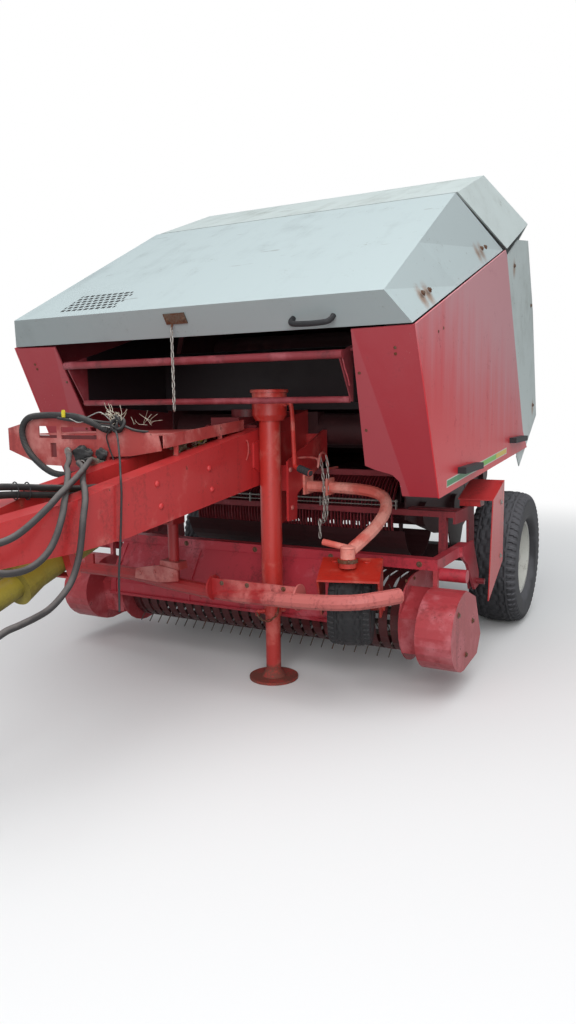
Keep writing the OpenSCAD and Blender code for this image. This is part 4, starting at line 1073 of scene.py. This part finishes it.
along = unit((0, 0.565, -0.825)) * 48
plate = prism([(-67, 0), (40, 0), (40, 5), (-67, 5)], (0, -1851, 1665), LEFT, band_out, along)
shackle = tube([(-35, -1831, 1622), (-35, -1836, 1612), (-35, -1838, 1600)], 4.5, 8)
made("hood_chain_plate", joined(plate, shackle), rusty_steel, "hood", ["hood_chain"], 50)
drop = [(-35, -1838, 1606), (-35.5, -1837, 1500), (-36, -1836, 1370), (-37, -1835, 1262)]
ring_chain("brow_chain", [eased(drop, 12)], "hood", "hood_chain")

# Gauge wheel
# A small tyre turned on its stem under a sloping box of thick plate. The box is scratched
# orange red; the stem's dark collar and its pale cap stand over it, clamped by the arm.
gauge_at = np.array((661, -1547, 413.0))
GAUGE_TURN = math.radians(17)
ahead = np.array((math.sin(GAUGE_TURN), -math.cos(GAUGE_TURN), 0))
sideways = np.array((math.cos(GAUGE_TURN), math.sin(GAUGE_TURN), 0))
points, faces = tyre_form((0, 0, 0), width=180, diameter=330, bead=200, blocks=40, depth=5)
turned_points = points[:, :1] * sideways - points[:, 1:2] * ahead + points[:, 2:] * UP + gauge_at
gauge_rubber = dusty_rubber(
    "gauge tyre rubber", (0.012, 0.012, 0.014), (0.07, 0.068, 0.07), 0.25, 160, "tyre"
)
made("gauge_tread", (turned_points, faces), gauge_rubber, "gauge_wheel", ["gauge_tyre"], 30)
gauge_red = worn_paint(
    "gauge box paint", (0.45, 0.022, 0.012), (0.6, 0.13, 0.09), (0.3, 0.02, 0.014),
    (0.42, 0.4, 0.1, 0.36), "bright_red",
)
dress(gauge_red, "gauge_fork")
arm_red = worn_paint(
    "gauge arm paint", (0.68, 0.13, 0.1), (0.82, 0.34, 0.28), (0.42, 0.12, 0.09),
    (0.75, 0.5, 0.3, 0.5),
)
dress(arm_red, "gauge_arm")
STEM = np.array((668, -1610, 0))
collar = turned([(39, 620), (43, 622), (43, 634), (39, 637)], STEM, UP, 32)
screw = turned([(8, -50), (8, 50), (5, 53)], STEM + (0, 0, 628), (0.5, -0.86, 0.1), 6)
made("stem_collar", joined(collar, screw), rusty_steel, smooth=50)
cap = turned([(32, 680), (34, 684), (30, 690), (18, 694), (3, 695)], STEM, UP, 36)
made("stem_cap", cap, arm_red)
spots = [gauge_at + sideways * s + (0, 0, 198.85) for s in (-70, 62)]
rings = [turned([(19, -2), (19, 4), (15, 6), (11, 4)], spot, UP, 24) for spot in spots]
heads = bolts([gauge_at + sideways * 130, gauge_at - sideways * 130], sideways, 13, 10)
made("box_rings", joined(*rings, heads), gauge_red)

# Feeder
# Between pickup and chamber many thin steel fingers curve round the feed rotor. Two bare tubes
# cross above the rail. All is dark with crop dust and oil, and painted darker still as shade.
# Partly painted shade: the chamber's parts get a near black copy of the red.
chamber_red = worn_paint(
    "chamber paint", (0.05, 0.013, 0.015), (0.1, 0.033, 0.036), (0.018, 0.008, 0.009),
    (0.4, 0.3, 0.4, 0.55),
)
dress(
    chamber_red, "side_wall_left", "side_wall_right", "cross_frame", "front_rollers",
    "rear_rollers", "tailgate_frame", "tailgate_back", "feeder_floor", "feed_rotor", "axle",
)
rail_red = worn_paint(
    "rail paint", (0.28, 0.028, 0.038), (0.46, 0.11, 0.13), (0.06, 0.012, 0.014),
    (0.5, 0.3, 0.25, 0.5), "dark_red",
)
dress(rail_red, "feeder_frame")
turn = np.radians(np.arange(100, 251, 10))
ROTOR = np.array((-660, 700))  # y and z of its axis
arc = np.stack([np.cos(turn), np.sin(turn)], -1)
finger = np.vstack([ROTOR + 233.5 * arc, ROTOR + 214 * arc[::-1]])
fingers = [
    prism(finger, (x + 56 * k, 0, 0), REAR, UP, (3, 0, 0)) for k in range(21) for x in (-568, -550)
]
made("thin_fingers", joined(*fingers), rail_red)
thick = tube([(-640, -941, 798), (0, -941, 797), (640, -941, 798)], 5.5, 10)
thin = tube([(-640, -940, 776), (0, -940, 775), (640, -940, 776)], 3.5, 8)
strip = [(-946, 757), (-930, 757), (-930, 806), (-946, 806)]
hangers = [prism(strip, (x, 0, 0), REAR, UP, (5, 0, 0)) for x in (-636, -210, 215, 631)]
made("feeder_tubes", joined(thick, thin, *hangers), coupler_steel, smooth=50)
# Painted shade: the tray's sheet behind its front tubes goes near black.
tray_red = worn_paint(
    "tray paint", (0.26, 0.035, 0.045), (0.42, 0.11, 0.13), (0.1, 0.02, 0.024),
    (0.6, 0.3, 0.2, 0.45), painted_shade=(1, -1638, -1626, (0.016, 0.009, 0.011)),
)
dress(tray_red, "net_tray")
line = [(712, -1758, 1464), (722, -1757, 1424), (736, -1757, 1382), (742, -1757, 1352)]
made("tray_wire", wire(line, 3, 6, 4), rail_red, smooth=60)
dome_red = worn_paint(
    "gearbox paint", (0.16, 0.016, 0.02), (0.27, 0.06, 0.07), (0.05, 0.012, 0.014),
    (0.5, 0.3, 0.4, 0.5),
)
dress(dome_red, "gearbox")
tufts = [
    straws(26, (10, -1790, 1122), (90, 60, 14), (150, 60, 24), 34, 11),
    straws(10, (-300, -1700, 1200), (120, 60, 10), (120, 60, 20), 60, 5),
    straws(14, (-20, -1840, 1096), (60, 40, 10), (130, 50, 30), 20, 3),
]
made("caught_straw", joined(*tufts), straw)

# Pickup
# Dark red bands wrap the tined reel between two end housings. The cross beam and the sheet
# that hangs from it are ribbed, and the near housing is rubbed to pink along its edges.
band_red = worn_paint(
    "band paint", (0.075, 0.009, 0.01), (0.16, 0.026, 0.028), (0.025, 0.006, 0.007),
    (0.4, 0.4, 0.25, 0.4),
)
dress(band_red, "pickup_bands")
sheet_red = worn_paint(
    "pickup sheet paint", (0.46, 0.032, 0.05), (0.58, 0.13, 0.16), (0.13, 0.014, 0.018),
    (0.5, 0.35, 0.25, 0.42),
)
dress(sheet_red, "windguard", "pickup_frame")
end_red = worn_paint(
    "housing paint", (0.42, 0.045, 0.055), (0.56, 0.15, 0.17), (0.22, 0.02, 0.022),
    (0.6, 0.45, 0.3, 0.42),
)
dress(end_red, "pickup_end_left", "pickup_end_right")
rib = [
    (-1256, 528), (-1344, 400), (-1370, 342), (-1374, 284), (-1380, 284), (-1378, 344),
    (-1352, 406), (-1262, 536),
]
ribs = [prism(rib, (x, 0, 0), REAR, UP, (7, 0, 0)) for x in (-812, -326, 160)]
lip = prism(
    [(-1374, 272), (-1386, 276), (-1392, 290), (-1388, 292), (-1382, 281), (-1372, 277)],
    (-840, 0, 0), REAR, UP, (1335, 0, 0),
)
made("sheet_ribs", joined(*ribs, lip), sheet_red, "pickup")
heads = bolts([(x, -1250, 560) for x in (-860, -420, 0, 420, 860)], AHEAD, 9, 7)
made("beam_bolts_front", heads, rusty_steel, "pickup")
LOBE = [(-1262, 480), (-1152, 470), (-1245, 340), (-1058, 224)]
for side, name in SIDES:
    outer = [(side * 1080, y, z) for y, z in ((-1380, 382), (-1150, 300), (-1250, 170))]
    inner = [(side * 803, y, z) for y, z in LOBE]
    heads = joined(bolts(outer, (side, 0, 0), 9, 7), bolts(inner, (side, 0, 0), 6, 5))
    made("housing_bolts_" + name, heads, rusty_steel, "pickup")

# Wheel guards
# A plate ahead of each tyre under a sloping top, chipped pale along its edges, with two
# bright bolts through the plate.
for side, name in SIDES:
    heads = bolts([(side * 1062, -566, 770), (side * 1062, -555, 490)], (side, 0, 0), 9, 7)
    made("guard_bolts_" + name, heads, coupler_steel)

# Tailgate
# White side covers and a peaked shell over dark walls. Lamp boards hang low at the rear,
# each with a red and an amber field on a black body.
for side, name in SIDES:
    spots = [(side * 1003, y, z) for y, z in ((-139, 2003), (474, 1251), (330, 1840), (180, 1010))]
    made("gate_bolts_" + name, bolts(spots, (side, 0, 0), 8, 6), rusty_steel, "tailgate")
glass = Finish("lamp glass", Roughness=0.18, Coat_Weight=0.5)
height = glass.part(2)
fluted = glass.node(
    "TexWave", {"wave_type": "BANDS", "bands_direction": "X"}, {"Vector": glass.at, "Scale": 55}
)
hue = glass.mix(glass.step(height, 1.074, 1.076), (0.36, 0.01, 0.01), (0.62, 0.2, 0.01))
lens = glass.step(glass.part(1), AXLE_Y + 0.8235, AXLE_Y + 0.8245)
# Painted highlight: along the flutes the lens colour is lightened in bands.
hue = glass.mix(fluted * 0.25, hue, (0.7, 0.2, 0.1))
glass.feed("Base Color", glass.mix(lens, (0.02, 0.02, 0.022), hue))
glass.relief(fluted * lens, 0.0006)
dress(glass, "tail_lamps")
